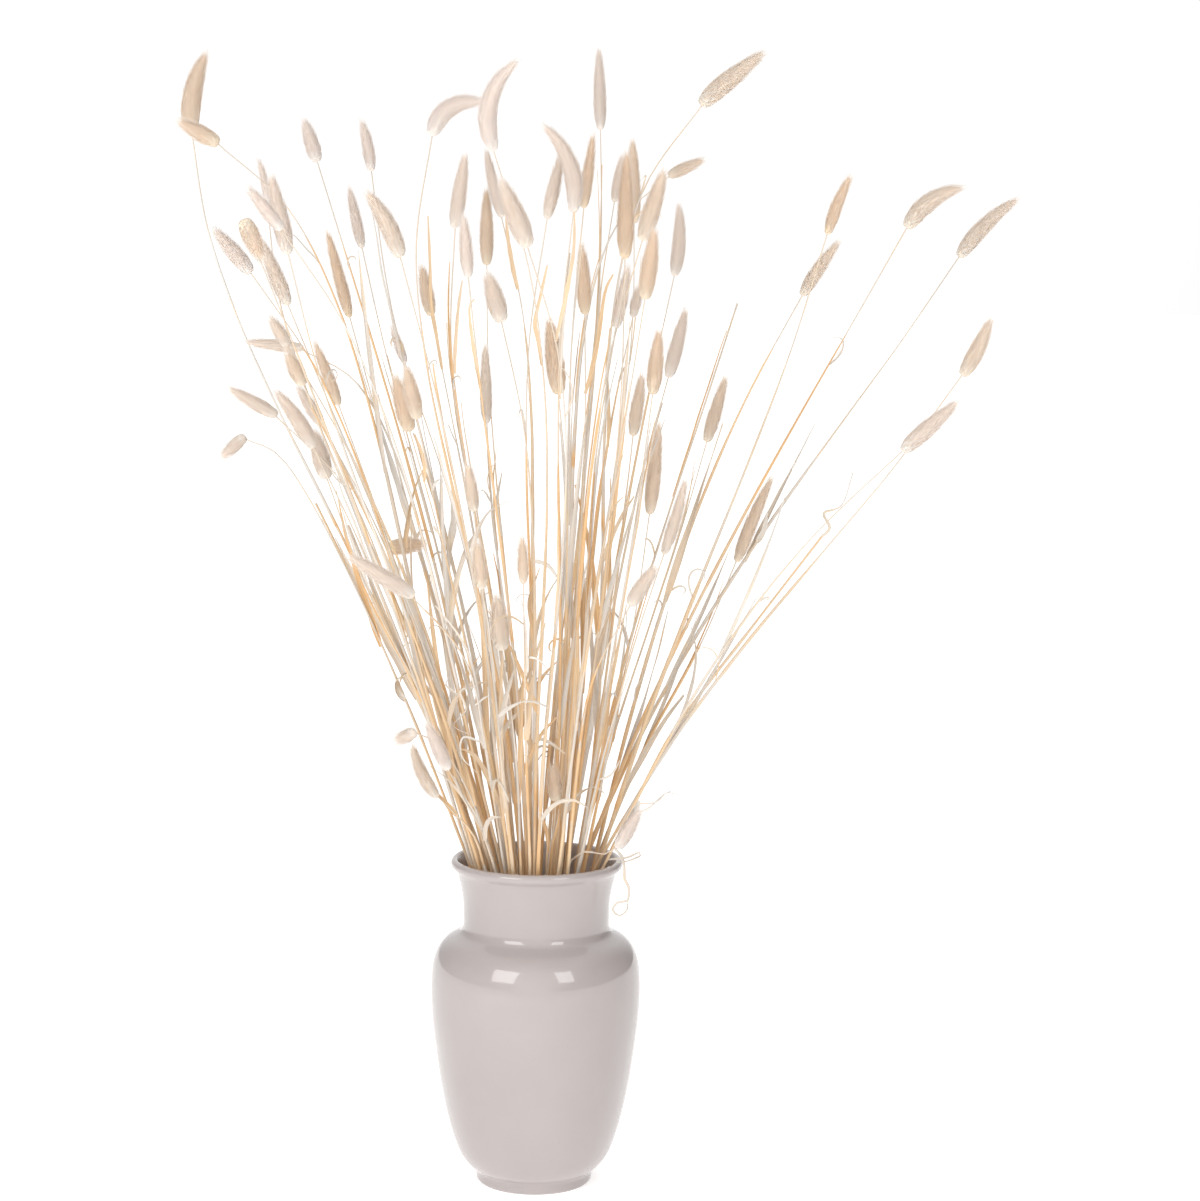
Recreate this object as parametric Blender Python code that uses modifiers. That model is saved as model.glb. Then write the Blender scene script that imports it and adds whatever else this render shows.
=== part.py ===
# A glazed vase that holds dried bunny tail grass. Each stem is one grown piece: a culm with its
# sheaths, its dried blades and its seed head. Two shoots of one tuft share a foot.
# The origin is the middle of the vase's foot, on the surface that it stands on. +Z is up and -Y is the front.
import math

import bmesh
import bpy
import numpy as np
from mathutils.kdtree import KDTree

# Driving dimensions, in millimetres. Geometry is worked out in millimetres and made in metres.
MM = 0.001
GAP = 0.3
WELD = 0.01  # points nearer than this are one point

# Vase
VASE_HEIGHT = 220.0
FOOT_RADIUS = 39.0
BODY_RADIUS = 70.2
NECK_RADIUS = 48.9
RIM_RADIUS = 57.4
NECK_WALL = 4.5
FLOOR_HEIGHT = 8.0
VASE_SIDES = 32

# Culms: the radius at the foot, above the upper sheath, and of the thin stalk under a head
FOOT_CULM = 1.35
UPPER_CULM = 0.95
STALK = 0.55
FORK_CULM = 0.8  # where a second culm starts inside the first
THINNING = (0.0, 0.5, 0.66, 0.8, 1.0)  # the shares of a culm's length between which it thins
CULM_SIDES = 3
CULM_TURN = 0.5  # how far the section is turned, in radians
SECTION_CORNER = 1.25  # the section reaches this many radii at its corners
MOUTH_HEIGHT = 221.0
LEAN_REACH = 200.0  # a culm leaning at slope s would cross the mouth at s times this
MOST_MOUTH = 51.0  # and never further out than this
FOOT_SPREAD = 0.72  # how far out a foot stands, as a share of its culm's place in the mouth
FOOT_HEIGHT = FLOOR_HEIGHT + GAP
FORK_HEIGHT = 140.0  # where a tuft's second culm leaves the first
BENDS_INSIDE = (192.0, 209.0)
CULM_STEP = 80.0  # the straight runs that a culm is bent from above the mouth
FIRST_LEAN = 0.9  # a culm leaves the mouth at this share of its lean
FIRST_REACH = 0.4  # and holds that course for this share of its length
LAST_REACH = (0.1, 0.2)  # how soon it turns into its head: least, and more where the two line up
SWAY = 3.0  # how far its middle sways off its course

# Heads
HEAD_SEGMENTS = 6
HEAD_RINGS = 7
HEAD_FULLEST = 0.55  # under 1, a head is fullest below its middle
HEAD_BLUNT = 0.52  # under 1, its ends are round
HEAD_HEEL = 0.02  # how far its base reaches back, as a share of its length
HEAD_LEAN = 0.8  # a head leans forward or back by this share of its culm's lean
BOW_REACH = 2.0  # the middle control point stands this many bows out
STALK_INSIDE = 0.1  # how far the stalk runs into its head, as a share of the head's length
TUFT_OUT = 1.16  # the raised tufts and the hollows between them, as shares of the head's radius
TUFT_IN = 0.84
TUFT_FORWARD = 0.055  # how far a tuft points towards the tip, as a share of the head's length

# Blades
BLADE_POINTS = 5
BLADE_TAPER = (0.75, 1.0, 1.0, 0.85, 0.6)
BLADE_KEEL = 0.65  # the keel's height, as a share of half the blade's width
MOST_BLADES = 90
BLADE_ROUNDS = 3
LOWEST_BLADE = 0.04  # as a share of the culm above the mouth
BLADE_ZONE = 0.22  # the stretch of the culm that a round's blades leave from
BLADE_RISE = 0.2  # and how much higher that is for each later round
LONGEST_BLADE = 0.55  # as a share of the culm above the mouth
SHORTEST_BLADE = 24.0
BLADE_TRIES = 12
OFF_INWARD = 1.4  # a blade's bearing is this near to the middle of the vase, in radians
BLADE_TWIST = 0.4
# How many of the blades are of each kind, their length, angle off the culm, bend and half width
BLADE_KINDS = (
    {"share": 0.66, "length": (70, 150), "spread": (4, 9), "bend": (2, 16), "half": (1.3, 2.3)},
    {"share": 0.22, "length": (45, 90), "spread": (12, 26), "bend": (30, 80), "half": (1.3, 1.7)},
    {"share": 0.12, "length": (35, 60), "spread": (20, 40), "bend": (110, 190), "half": (1.3, 1.5)},
)

# Slopes at which shoots lean forward or back
MOST_LEAN = 0.36
MOST_LOW_LEAN = 0.5
LOW_HEAD = 400.0  # tufts with a head below this are placed first, while there is room for them
TALL_HEAD = 600.0
TUFT_APART = 0.07  # between the two shoots of a tuft

# Clear space kept between separate stems, tested on points this far apart
STEP = 3.0
CLEAR = 1.5
LEAN_TRIES = 90
LEAN_STEP = 0.012
# How far a culm's place in the mouth may be moved: a change of slope, and a share of the way out
MOUTH_TRIES = ((0.0, 1.0), (0.03, 1.0), (-0.03, 1.0), (0.0, 0.86), (0.04, 0.86), (-0.04, 0.86), (0.0, 0.72))

FLAT_ANGLE = math.radians(0.5)
SHARP_ANGLE = math.radians(50)

# The front view that the heads were measured in: an eye in front of the vase and a little above
# its middle, looking down. Seen sizes are true in a plane through the vase's axis.
EYE = np.array((40.0, -1858.0, 621.5))
EYE_DOWN = math.radians(7.0)
EYE_ROLL = math.radians(0.7)
EYE_TO_PLANE = 1843.0
SEEN_CENTRE = np.array((36.7, 393.0))

rng = np.random.default_rng(21)


def head(x, z, tip_x, tip_z, width, bow=0.0, side=0):
    """A seed head as seen from the front: its base, its tip, its width and how far its middle
    bows to the right of the straight line. side is -1 in front, 1 behind, 0 where it falls."""
    return {"base": (x, z), "tip": (tip_x, tip_z), "width": width, "bow": bow, "side": side}


def cut(x, z, side=0):
    """A shoot that lost its head, as seen from the front."""
    return {"base": (x, z), "tip": None, "width": 0.0, "bow": 0.0, "side": side}


# Every tuft in the vase, from left to right: one shoot, or two that share a foot
TUFTS = [
    [head(-229, 698, -220, 747, 14, bow=-3.5), head(-211, 690, -236, 704, 11.5, side=-1)],
    [head(-190, 606, -213, 633, 10.5), head(-195, 641, -184, 616, 11.5)],
    [head(-173, 513, -203, 530, 9), head(-194, 500, -208, 487, 9)],
    [head(-166, 618, -177, 668, 11, side=-1), head(-170, 634, -191, 660, 8.5)],
    [head(-180, 653, -185, 678, 5, bow=1, side=1)],
    [head(-166, 585, -183, 626, 10), head(-156, 557, -192, 561, 8)],
    [head(-166, 558, -177, 576, 8), head(-156, 533, -166, 553, 10)],
    [head(-149, 492, -173, 528, 10.5, bow=1, side=-1)],
    [head(-144, 507, -159, 531, 9), cut(-148, 456)],
    [head(-141, 472, -149, 502, 12, side=-1)],
    [head(-147, 678, -155, 704, 10.5), head(-126, 577, -140, 631, 8.5)],
    [head(-133, 520, -148, 559, 8), cut(-127, 442, side=-1)],
    [head(-112, 672, -118, 704, 8.5, bow=0.8)],
    [head(-118, 622, -126, 660, 8)],
    [head(-93, 616, -114, 657, 11.5, bow=2, side=-1)],
    [head(-90, 547, -98, 570, 6.5)],
    [head(-82, 511, -89, 543, 10)],
    [head(-87, 503, -96, 537, 11.5, side=-1)],
    [head(-101, 427, -79, 430, 12)],
    [head(-84, 396, -125, 421, 10.5, side=-1)],
    [head(-83, 308, -95, 302, 9), head(-69, 265, -85, 298, 8.5, bow=-2.2)],
    [head(-62, 283, -75, 312, 9.5, side=-1)],
    [head(-73, 695, -40, 717, 12, bow=-7.5)],
    [head(-73, 578, -79, 609, 10)],
    [head(-58, 635, -51, 682, 9.5)],
    [head(-49, 603, -52, 642, 8)],
    [head(-37, 611, -37, 659, 10.3)],
    [head(-32, 685, -18, 743, 11, bow=-9)],
    [head(-27, 642, -37, 685, 8.5, bow=-0.8)],
    [head(-27, 574, -36, 604, 12, side=-1)],
    [head(-45, 451, -49, 480, 8, side=-1), head(-40, 401, -43, 429, 9, side=-1)],
    [head(-37, 508, -38, 558, 8.5)],
    [head(-10, 623, -27, 665, 12.5, side=-1)],
    [head(-27, 361, -30, 394, 12, side=-1), head(-13, 404, -14, 433, 6.5, side=-1)],
    [head(19, 645, 1, 701, 11, bow=7.2, side=-1)],
    [head(2, 641, 12, 684, 8)],
    [head(26, 648, 32, 694, 7.2)],
    [head(37, 699, 36, 750, 9.5)],
    [head(10, 527, 4, 574, 12.5, side=-1)],
    [head(27, 579, 25, 622, 9.5)],
    [head(8, 263, 6, 284, 10.5, side=-1)],
    [head(59, 638, 58, 691, 10), head(46, 652, 51, 681, 7.5, side=1)],
    [head(53, 615, 54, 682, 11)],
    [head(47, 570, 55, 609, 8), head(58, 577, 62, 596, 7)],
    [head(64, 627, 78, 671, 11.3, side=-1)],
    [head(66, 589, 72, 633, 10)],
    [head(85, 604, 88, 649, 10.3, bow=1.8), head(81, 669, 103, 679, 9)],
    [head(71, 527, 75, 567, 10), head(58, 500, 64, 539, 8.5)],
    [head(81, 538, 92, 581, 10.5, bow=0.4)],
    [head(69, 449, 75, 506, 9.5, side=-1)],
    [head(78, 423, 92, 470, 7.6, bow=0.8, side=-1), head(56, 390, 72, 414, 10)],
    [head(48, 232, 62, 256, 9.5, side=-1)],
    [head(102, 715, 142, 748, 13, bow=-0.8)],
    [head(106, 496, 118, 537, 9.7), cut(126, 586)],
    [head(125.5, 418, 148, 472, 9, bow=-0.9), cut(182, 436)],
    [head(184.5, 631, 199, 668, 8, bow=-1), head(168, 591, 191, 625, 9, bow=-0.8)],
    [head(236, 635, 271, 661, 12.5, bow=-4.8)],
    [head(270, 616, 307, 653, 11.5, bow=-3)],
    [head(272, 539, 290, 574, 10.5, bow=1), head(233, 490, 268, 521, 11)],
]


def clear_scene():
    """Removes the objects of the scene that the script starts in."""
    for thing in list(bpy.data.objects):
        bpy.data.objects.remove(thing)


def make_material(name, rgb, roughness):
    material = bpy.data.materials.new(name)
    material.use_nodes = True
    shader = material.node_tree.nodes["Principled BSDF"]
    shader.inputs["Base Color"].default_value = (*rgb, 1.0)
    shader.inputs["Roughness"].default_value = roughness
    shader.inputs["Metallic"].default_value = 0.0
    material.diffuse_color = (*rgb, 1.0)
    return material


# Vase

# Radius and height down the outside, from the crest of the rolled lip to the foot
OUTSIDE = [
    (54.8, VASE_HEIGHT), (56.6, 219.4), (RIM_RADIUS, 217.2), (53.9, 212.0), (51.2, 203.0),
    (NECK_RADIUS, 188.0), (NECK_RADIUS, 174.5), (51.5, 170.0), (59.0, 166.0), (65.0, 159.5),
    (68.9, 149.0), (BODY_RADIUS, 132.0), (69.8, 118.0), (67.0, 92.0), (62.4, 62.0), (56.4, 36.0),
    (50.0, 19.0), (43.6, 10.8), (FOOT_RADIUS, 6.0), (FOOT_RADIUS, 1.4), (FOOT_RADIUS - 1.2, 0.0),
]
# Radius and height up the inside, from the floor to the mouth
INSIDE = [
    (36.0, FLOOR_HEIGHT), (50.0, 32.0), (62.3, 92.0), (65.4, 128.0), (62.5, 150.0), (53.0, 161.5),
    (NECK_RADIUS - NECK_WALL, 171.0), (NECK_RADIUS - NECK_WALL, 188.0), (50.4, 213.5), (52.7, 218.6),
]


def make_vase(collection, material):
    """Turns the wall's outline about the vase's axis."""
    outline = [(0.0, FLOOR_HEIGHT), *INSIDE, *OUTSIDE, (0.0, 0.0)]
    mesh = bpy.data.meshes.new("vase")
    points = [(radius * MM, 0.0, height * MM) for radius, height in outline]
    mesh.from_pydata(points, [(i, i + 1) for i in range(len(points) - 1)], [])
    vase = bpy.data.objects.new("vase", mesh)
    collection.objects.link(vase)
    screw = vase.modifiers.new("turned", "SCREW")
    screw.steps = VASE_SIDES
    screw.render_steps = VASE_SIDES
    screw.use_merge_vertices = True
    screw.merge_threshold = WELD * MM
    screw.use_smooth_shade = True
    mesh.materials.append(material)
    return vase


# Places of the stems

def from_front(seen, depth):
    """The point at this depth behind the vase's axis that shows at a seen place in the front view."""
    across, up = np.array(seen) - SEEN_CENTRE
    turn, lift = math.cos(EYE_ROLL), math.sin(EYE_ROLL)
    across, up = across * turn - up * lift, across * lift + up * turn
    ray = np.array((
        across,
        EYE_TO_PLANE * math.cos(EYE_DOWN) + up * math.sin(EYE_DOWN),
        up * math.cos(EYE_DOWN) - EYE_TO_PLANE * math.sin(EYE_DOWN),
    ))
    return EYE + ray * (depth - EYE[1]) / ray[1]


def unit(vector):
    return vector / np.linalg.norm(vector)


def bezier(points, count):
    """Points at equal steps along a Bezier curve of any degree, both ends included."""
    t = np.linspace(0.0, 1.0, count)[:, None]
    degree = len(points) - 1
    return sum(
        math.comb(degree, i) * t**i * (1 - t) ** (degree - i) * np.array(p) for i, p in enumerate(points)
    )


def head_line(shoot, lean_y, depth):
    """The control points of the head's curved middle line."""
    base = from_front(shoot["base"], depth)
    rise = shoot["tip"][1] - shoot["base"][1]
    tip = from_front(shoot["tip"], depth + HEAD_LEAN * lean_y * rise)
    along = unit(tip - base)
    right = unit(np.cross((0.0, 1.0, 0.0), along))
    return [base, (base + tip) / 2 + BOW_REACH * shoot["bow"] * right, tip]


def lean_across(shoot):
    """A shoot's slope to the right in the front view."""
    end = from_front(shoot["base"], 0.0)
    return end[0] / (LEAN_REACH + end[2] - MOUTH_HEIGHT)


def culm_points(shoot, lean_y, shift, inset, fork, sway):
    """A shoot's culm from its foot on the vase's floor, or from the foot that it shares, through
    the mouth, to where its head starts."""
    height = from_front(shoot["base"], 0.0)[2]
    depth = lean_y * (LEAN_REACH + height - MOUTH_HEIGHT)
    end = from_front(shoot["base"], depth)
    lean = np.array((lean_across(shoot) + shift, lean_y))
    slope = np.linalg.norm(lean)
    out = inset * MOST_MOUTH * math.tanh(slope * LEAN_REACH / MOST_MOUTH)
    mouth = lean / slope * out
    start = np.array((*mouth, MOUTH_HEIGHT))
    length = np.linalg.norm(end - start)
    away = unit(np.array((*(lean * FIRST_LEAN), 1.0)))
    into = straight = unit(end - start)
    line = None
    if shoot["tip"]:
        line = head_line(shoot, lean_y, depth)
        into = unit(line[1] - line[0])
    reach = length * (LAST_REACH[0] + LAST_REACH[1] * max(0.0, float(straight @ into)))
    count = max(3, round(length / CULM_STEP)) + 1
    above = bezier([start, start + FIRST_REACH * length * away, end - reach * into, end], count)
    above[:, :2] += np.outer(np.sin(np.linspace(0.0, math.pi, count)), sway)
    if line is not None:
        above[-1] += into * STALK_INSIDE * np.linalg.norm(line[2] - line[0])
    power = slope * (MOUTH_HEIGHT - FOOT_HEIGHT) / ((1 - FOOT_SPREAD) * out)

    def below(height):
        rise = (height - FOOT_HEIGHT) / (MOUTH_HEIGHT - FOOT_HEIGHT)
        return mouth * (FOOT_SPREAD + (1 - FOOT_SPREAD) * rise**power)

    low = FOOT_HEIGHT if fork is None else FORK_HEIGHT
    aside = np.zeros(2) if fork is None else fork[:2] - below(low)
    inside = []
    for height in (low, *BENDS_INSIDE):
        left = (MOUTH_HEIGHT - height) / (MOUTH_HEIGHT - low)
        inside.append((*(below(height) + aside * left), height))
    inside = np.array(inside)
    along = (FORK_HEIGHT - inside[0][2]) / (inside[1][2] - inside[0][2])
    return np.vstack([inside, above]), line, inside[0] + (inside[1] - inside[0]) * along


def culm_radii(points, headless, forked):
    """The culm thins above its upper sheath, and again to the stalk under the head. One that
    leaves a shared foot starts thin, inside the other."""
    steps = np.linalg.norm(np.diff(points, axis=0), axis=1)
    share = np.concatenate([[0.0], np.cumsum(steps)]) / steps.sum()
    top = UPPER_CULM if headless else STALK
    radii = np.interp(share, THINNING, (FOOT_CULM, FOOT_CULM, UPPER_CULM, top, top))
    if forked:
        radii[0] = FORK_CULM
    return radii


def head_radius(share, width):
    """A head's radius at a share of its length: full below the middle and drawn out to the tip."""
    return 0.5 * width * np.sin(math.pi * np.clip(share, 0, 1) ** HEAD_FULLEST) ** HEAD_BLUNT


def is_clear_of_vase(points, radii):
    """True where every point inside the vase stays off its wall, and every other is above its rim."""
    for point, radius in zip(points, radii):
        out = math.hypot(point[0], point[1])
        height = point[2]
        if height < VASE_HEIGHT:
            heights, walls = [z for _, z in INSIDE], [r for r, _ in INSIDE]
            if out + radius > np.interp(height, heights, walls) - 2 * GAP:
                return False
        elif out + radius > INSIDE[-1][0] - GAP and height - radius < VASE_HEIGHT + GAP:
            return False
    return True


def densify(points, radii):
    """Points no more than STEP apart along a line, with the radius at each."""
    places, sizes = [], []
    for i in range(len(points) - 1):
        count = max(1, math.ceil(np.linalg.norm(points[i + 1] - points[i]) / STEP))
        for share in np.arange(count) / count:
            places.append(points[i] + (points[i + 1] - points[i]) * share)
            sizes.append(radii[i] + (radii[i + 1] - radii[i]) * share)
    return np.array([*places, points[-1]]), np.array([*sizes, radii[-1]])


class Space:
    """The points that earlier pieces fill, to keep later ones clear of them."""

    def __init__(self):
        self.points = []
        self.radii = []
        self.owners = []
        self.tree = KDTree(0)
        self.tree.balance()
        self.widest = 0.0

    def add(self, points, radii, owner):
        self.points.extend(points)
        self.radii.extend(radii)
        self.owners.extend([owner] * len(points))
        self.tree = KDTree(len(self.points))
        for index, point in enumerate(self.points):
            self.tree.insert(point, index)
        self.tree.balance()
        self.widest = max(self.radii)

    def is_clear(self, points, radii, owner):
        for point, radius in zip(points, radii):
            for _, index, distance in self.tree.find_range(point, radius + self.widest + CLEAR):
                if self.owners[index] != owner and distance < radius + self.radii[index] + CLEAR:
                    return False
        return True


def place_shoots(space):
    """Gives every shoot its depth, the low tufts first. A shoot leans forward or back by a seeded
    draw, or by the nearest slope to that which keeps it clear of the shoots placed before it."""
    placed = [[] for _ in TUFTS]
    order = sorted(range(len(TUFTS)), key=lambda i: min(shoot["base"][1] for shoot in TUFTS[i]) >= LOW_HEAD)
    count = sum(len(tuft) for tuft in TUFTS)
    strata = rng.permutation((np.arange(count) + 0.5) / count)
    sides = rng.permutation(np.where(np.arange(count) % 2 == 0, -1, 1))
    number = 0
    for tuft_number in order:
        fork = None
        first_lean = None
        for shoot in TUFTS[tuft_number]:
            height = from_front(shoot["base"], 0.0)[2]
            widest = np.interp(height, (LOW_HEAD, TALL_HEAD), (MOST_LOW_LEAN, MOST_LEAN))
            side = shoot["side"] or sides[number]
            target = side * math.sqrt(max(0.0, widest**2 - lean_across(shoot) ** 2) * strata[number])
            if first_lean is not None:
                target = first_lean + TUFT_APART * side
            sway = rng.uniform(-SWAY, SWAY, 2)
            number += 1
            shoot = fit_shoot(shoot, target, fork, sway, space, tuft_number)
            first_lean = shoot["lean_y"]
            fork = shoot["fork"]
            placed[tuft_number].append(shoot)
    return placed


def fit_shoot(shoot, target, fork, sway, space, tuft_number):
    """The shoot at the slope nearest to its target that is clear of the others."""
    for step in range(LEAN_TRIES):
        lean_y = target + LEAN_STEP * math.ceil(step / 2) * (-1) ** step
        for shift, inset in MOUTH_TRIES:
            points, line, foot = culm_points(shoot, lean_y, shift, inset, fork, sway)
            radii = culm_radii(points, line is None, fork is not None)
            dense, sizes = densify(points, radii * SECTION_CORNER)
            if line is not None:
                middle, widths = densify(*head_spine(line, shoot["width"]))
                dense = np.vstack([dense, middle])
                sizes = np.concatenate([sizes, widths])
            if is_clear_of_vase(dense, sizes) and space.is_clear(dense, sizes, tuft_number):
                space.add(dense, sizes, tuft_number)
                shape = {"points": points, "radii": radii, "line": line, "lean_y": lean_y, "fork": foot}
                return {**shoot, **shape}
    raise ValueError(f"no clear place for the shoot seen at {shoot['base']}")


def head_spine(line, width):
    """Points along a head's middle line and its outer radius at each."""
    share = np.linspace(0.0, 1.0, HEAD_RINGS + 1)
    return bezier(line, HEAD_RINGS + 1), TUFT_OUT * head_radius(share, width)


# Blades

def point_on(points, share):
    """The place and the direction at a share of a line's length."""
    steps = np.linalg.norm(np.diff(points, axis=0), axis=1)
    length = np.concatenate([[0.0], np.cumsum(steps)])
    i = min(int(np.searchsorted(length, share * length[-1], side="right")) - 1, len(steps) - 1)
    rest = (share * length[-1] - length[i]) / steps[i]
    return points[i] + (points[i + 1] - points[i]) * rest, unit(points[i + 1] - points[i])


def turned(vector, axis, angle):
    """The vector turned about a unit axis."""
    across = np.cross(axis, vector) * math.sin(angle)
    return vector * math.cos(angle) + across + axis * (axis @ vector) * (1 - math.cos(angle))


def blade_points(culm, share, azimuth, length, spread, bend):
    """A blade leaves its culm at an angle and bends further out along its length."""
    start, along = point_on(culm, share)
    side = unit(np.cross(along, (math.cos(azimuth), math.sin(azimuth), 0.0)))
    heading = turned(along, side, math.radians(spread))
    points = [start]
    runs = BLADE_POINTS - 1
    for run in range(1, BLADE_POINTS):
        points.append(points[-1] + heading * length / runs)
        heading = turned(heading, side, math.radians(bend) * 2 * run / (runs * BLADE_POINTS))
    return np.array(points)


def blade_kind():
    """The length, angle off the culm, bend and half width of a dried blade: most stand along the
    culm, some arch away and a few are curled."""
    draw = rng.random()
    for kind in BLADE_KINDS:
        if draw < kind["share"]:
            break
        draw -= kind["share"]
    return [rng.uniform(*kind[size]) for size in ("length", "spread", "bend", "half")]


def place_blades(placed, space):
    """Grows blades from the joints of the culms, each at the first of a few bearings that is clear."""
    order = [(number, shoot) for number, shoots in enumerate(placed) for shoot in shoots]
    for _, shoot in order:
        shoot["blades"] = []
    total = 0
    for later in range(BLADE_ROUNDS):
        for index in rng.permutation(len(order)):
            number, shoot = order[index]
            tall = shoot["points"][-1][2]
            above = (tall - MOUTH_HEIGHT) / tall
            share = 1 - above + above * (LOWEST_BLADE + BLADE_RISE * later + BLADE_ZONE * rng.random())
            length, spread, bend, half = blade_kind()
            length = min(length, LONGEST_BLADE * (tall - MOUTH_HEIGHT))
            inward = math.atan2(-shoot["points"][-1][1], -shoot["points"][-1][0])
            first = inward + rng.uniform(-OFF_INWARD, OFF_INWARD)
            twist = rng.uniform(-BLADE_TWIST, BLADE_TWIST)
            if total >= MOST_BLADES or length < SHORTEST_BLADE:
                continue
            for step in range(BLADE_TRIES):
                azimuth = first + math.ceil(step / 2) * (-1) ** step * math.tau / BLADE_TRIES
                points = blade_points(shoot["points"], share, azimuth, length, spread, bend)
                radii = half * np.array(BLADE_TAPER)
                dense, sizes = densify(points, radii)
                if is_clear_of_vase(dense, sizes + GAP) and space.is_clear(dense, sizes, number):
                    shoot["blades"].append({"points": points, "radii": radii, "twist": twist})
                    space.add(dense, sizes, number)
                    total += 1
                    break
    print(total, "blades")


# Solids

def make_section(name, corners):
    """A closed flat outline for a curve's bevel, in millimetres at radius 1."""
    curve = bpy.data.curves.new(name, "CURVE")
    curve.dimensions = "2D"
    spline = curve.splines.new("POLY")
    spline.points.add(len(corners) - 1)
    for point, (x, y) in zip(spline.points, corners):
        point.co = (x * MM, y * MM, 0.0, 1.0)
    spline.use_cyclic_u = True
    section = bpy.data.objects.new(name, curve)
    section.hide_render = True
    section.display_type = "WIRE"
    return section


def make_swept(name, points, radii, section, material, twist=0.0):
    """Sweeps a section along a line, as a closed mesh."""
    curve = bpy.data.curves.new(name, "CURVE")
    curve.dimensions = "3D"
    curve.bevel_mode = "OBJECT"
    curve.bevel_object = section
    curve.use_fill_caps = True
    spline = curve.splines.new("POLY")
    spline.points.add(len(points) - 1)
    for i, (point, place, radius) in enumerate(zip(spline.points, points, radii)):
        point.co = (*(place * MM), 1.0)
        point.radius = radius
        point.tilt = twist * i
    swept = bpy.data.objects.new(name, curve)
    bpy.context.scene.collection.objects.link(swept)
    graph = bpy.context.evaluated_depsgraph_get()
    mesh = bpy.data.meshes.new_from_object(swept.evaluated_get(graph))
    bpy.data.objects.remove(swept)
    return closed_object(name, mesh, material)


def closed_object(name, mesh, material):
    """An object of this mesh, its caps welded on and its faces turned outwards."""
    cage = bmesh.new()
    cage.from_mesh(mesh)
    bmesh.ops.remove_doubles(cage, verts=cage.verts, dist=WELD * MM)
    bmesh.ops.triangulate(cage, faces=cage.faces)
    bmesh.ops.recalc_face_normals(cage, faces=cage.faces)
    cage.to_mesh(mesh)
    cage.free()
    mesh.materials.clear()
    mesh.materials.append(material)
    return bpy.data.objects.new(name, mesh)


def make_head(name, line, width, material):
    """A seed head: a long sphere bent along its middle line, with staggered tufts that stand out
    of it and point to its tip."""
    cage = bmesh.new()
    bmesh.ops.create_uvsphere(cage, u_segments=HEAD_SEGMENTS, v_segments=HEAD_RINGS, radius=1.0)
    length = np.linalg.norm(line[-1] - line[0])
    for vertex in cage.verts:
        share = math.acos(max(-1.0, min(1.0, -vertex.co.z))) / math.pi
        ring = round(share * HEAD_RINGS)
        around = math.atan2(vertex.co.y, vertex.co.x)
        column = round(around / (2 * math.pi / HEAD_SEGMENTS))
        raised = (ring + column) % 2 == 1 and 0 < ring < HEAD_RINGS
        forward = share + (TUFT_FORWARD if raised else 0.0)
        radius = head_radius(share, width) * (TUFT_OUT if raised else TUFT_IN)
        a, b, c = line
        place = a * (1 - forward) ** 2 + 2 * b * forward * (1 - forward) + c * forward**2
        along = unit(2 * (1 - forward) * (b - a) + 2 * forward * (c - b))
        side = unit(np.cross(along, (0.0, 1.0, 0.0)))
        front = np.cross(along, side)
        if 0 < ring < HEAD_RINGS:
            place = place + radius * (math.cos(around) * side + math.sin(around) * front)
        elif ring == 0:
            place = place - along * HEAD_HEEL * length
        vertex.co = place * MM
    mesh = bpy.data.meshes.new(name)
    cage.to_mesh(mesh)
    cage.free()
    return closed_object(name, mesh, material)


def merge_flat_faces(mesh):
    """Joins the slivers that a union leaves in a flat face."""
    cage = bmesh.new()
    cage.from_mesh(mesh)
    bmesh.ops.dissolve_limit(cage, angle_limit=FLAT_ANGLE, verts=cage.verts, edges=cage.edges)
    bmesh.ops.triangulate(cage, faces=cage.faces)
    cage.to_mesh(mesh)
    cage.free()


def is_one_closed_body(mesh):
    cage = bmesh.new()
    cage.from_mesh(mesh)
    closed = len(cage.faces) > 0 and all(len(edge.link_faces) == 2 for edge in cage.edges)
    reached = set()
    waiting = list(cage.verts)[:1] if closed else []
    while waiting:
        vertex = waiting.pop()
        if vertex in reached:
            continue
        reached.add(vertex)
        waiting.extend(edge.other_vert(vertex) for edge in vertex.link_edges)
    one = closed and len(reached) == len(cage.verts)
    cage.free()
    return one


def fuse(name, pieces, collection):
    """Joins a stem's pieces in one closed body."""
    for solver in ("EXACT", "MANIFOLD"):
        joined = bpy.data.objects.new(name, pieces[0].data.copy())
        collection.objects.link(joined)
        helpers = bpy.data.collections.new(name + "_pieces")
        bpy.context.scene.collection.children.link(helpers)
        for piece in pieces[1:]:
            helpers.objects.link(piece)
        union = joined.modifiers.new("union", "BOOLEAN")
        union.operation = "UNION"
        union.operand_type = "COLLECTION"
        union.collection = helpers
        union.solver = solver
        graph = bpy.context.evaluated_depsgraph_get()
        mesh = bpy.data.meshes.new_from_object(joined.evaluated_get(graph))
        for piece in pieces[1:]:
            helpers.objects.unlink(piece)
        bpy.data.collections.remove(helpers)
        joined.modifiers.clear()
        if is_one_closed_body(mesh):
            mesh.name = name
            joined.data = mesh
            merge_flat_faces(mesh)
            return joined
        bpy.data.objects.remove(joined)
    return None


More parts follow.
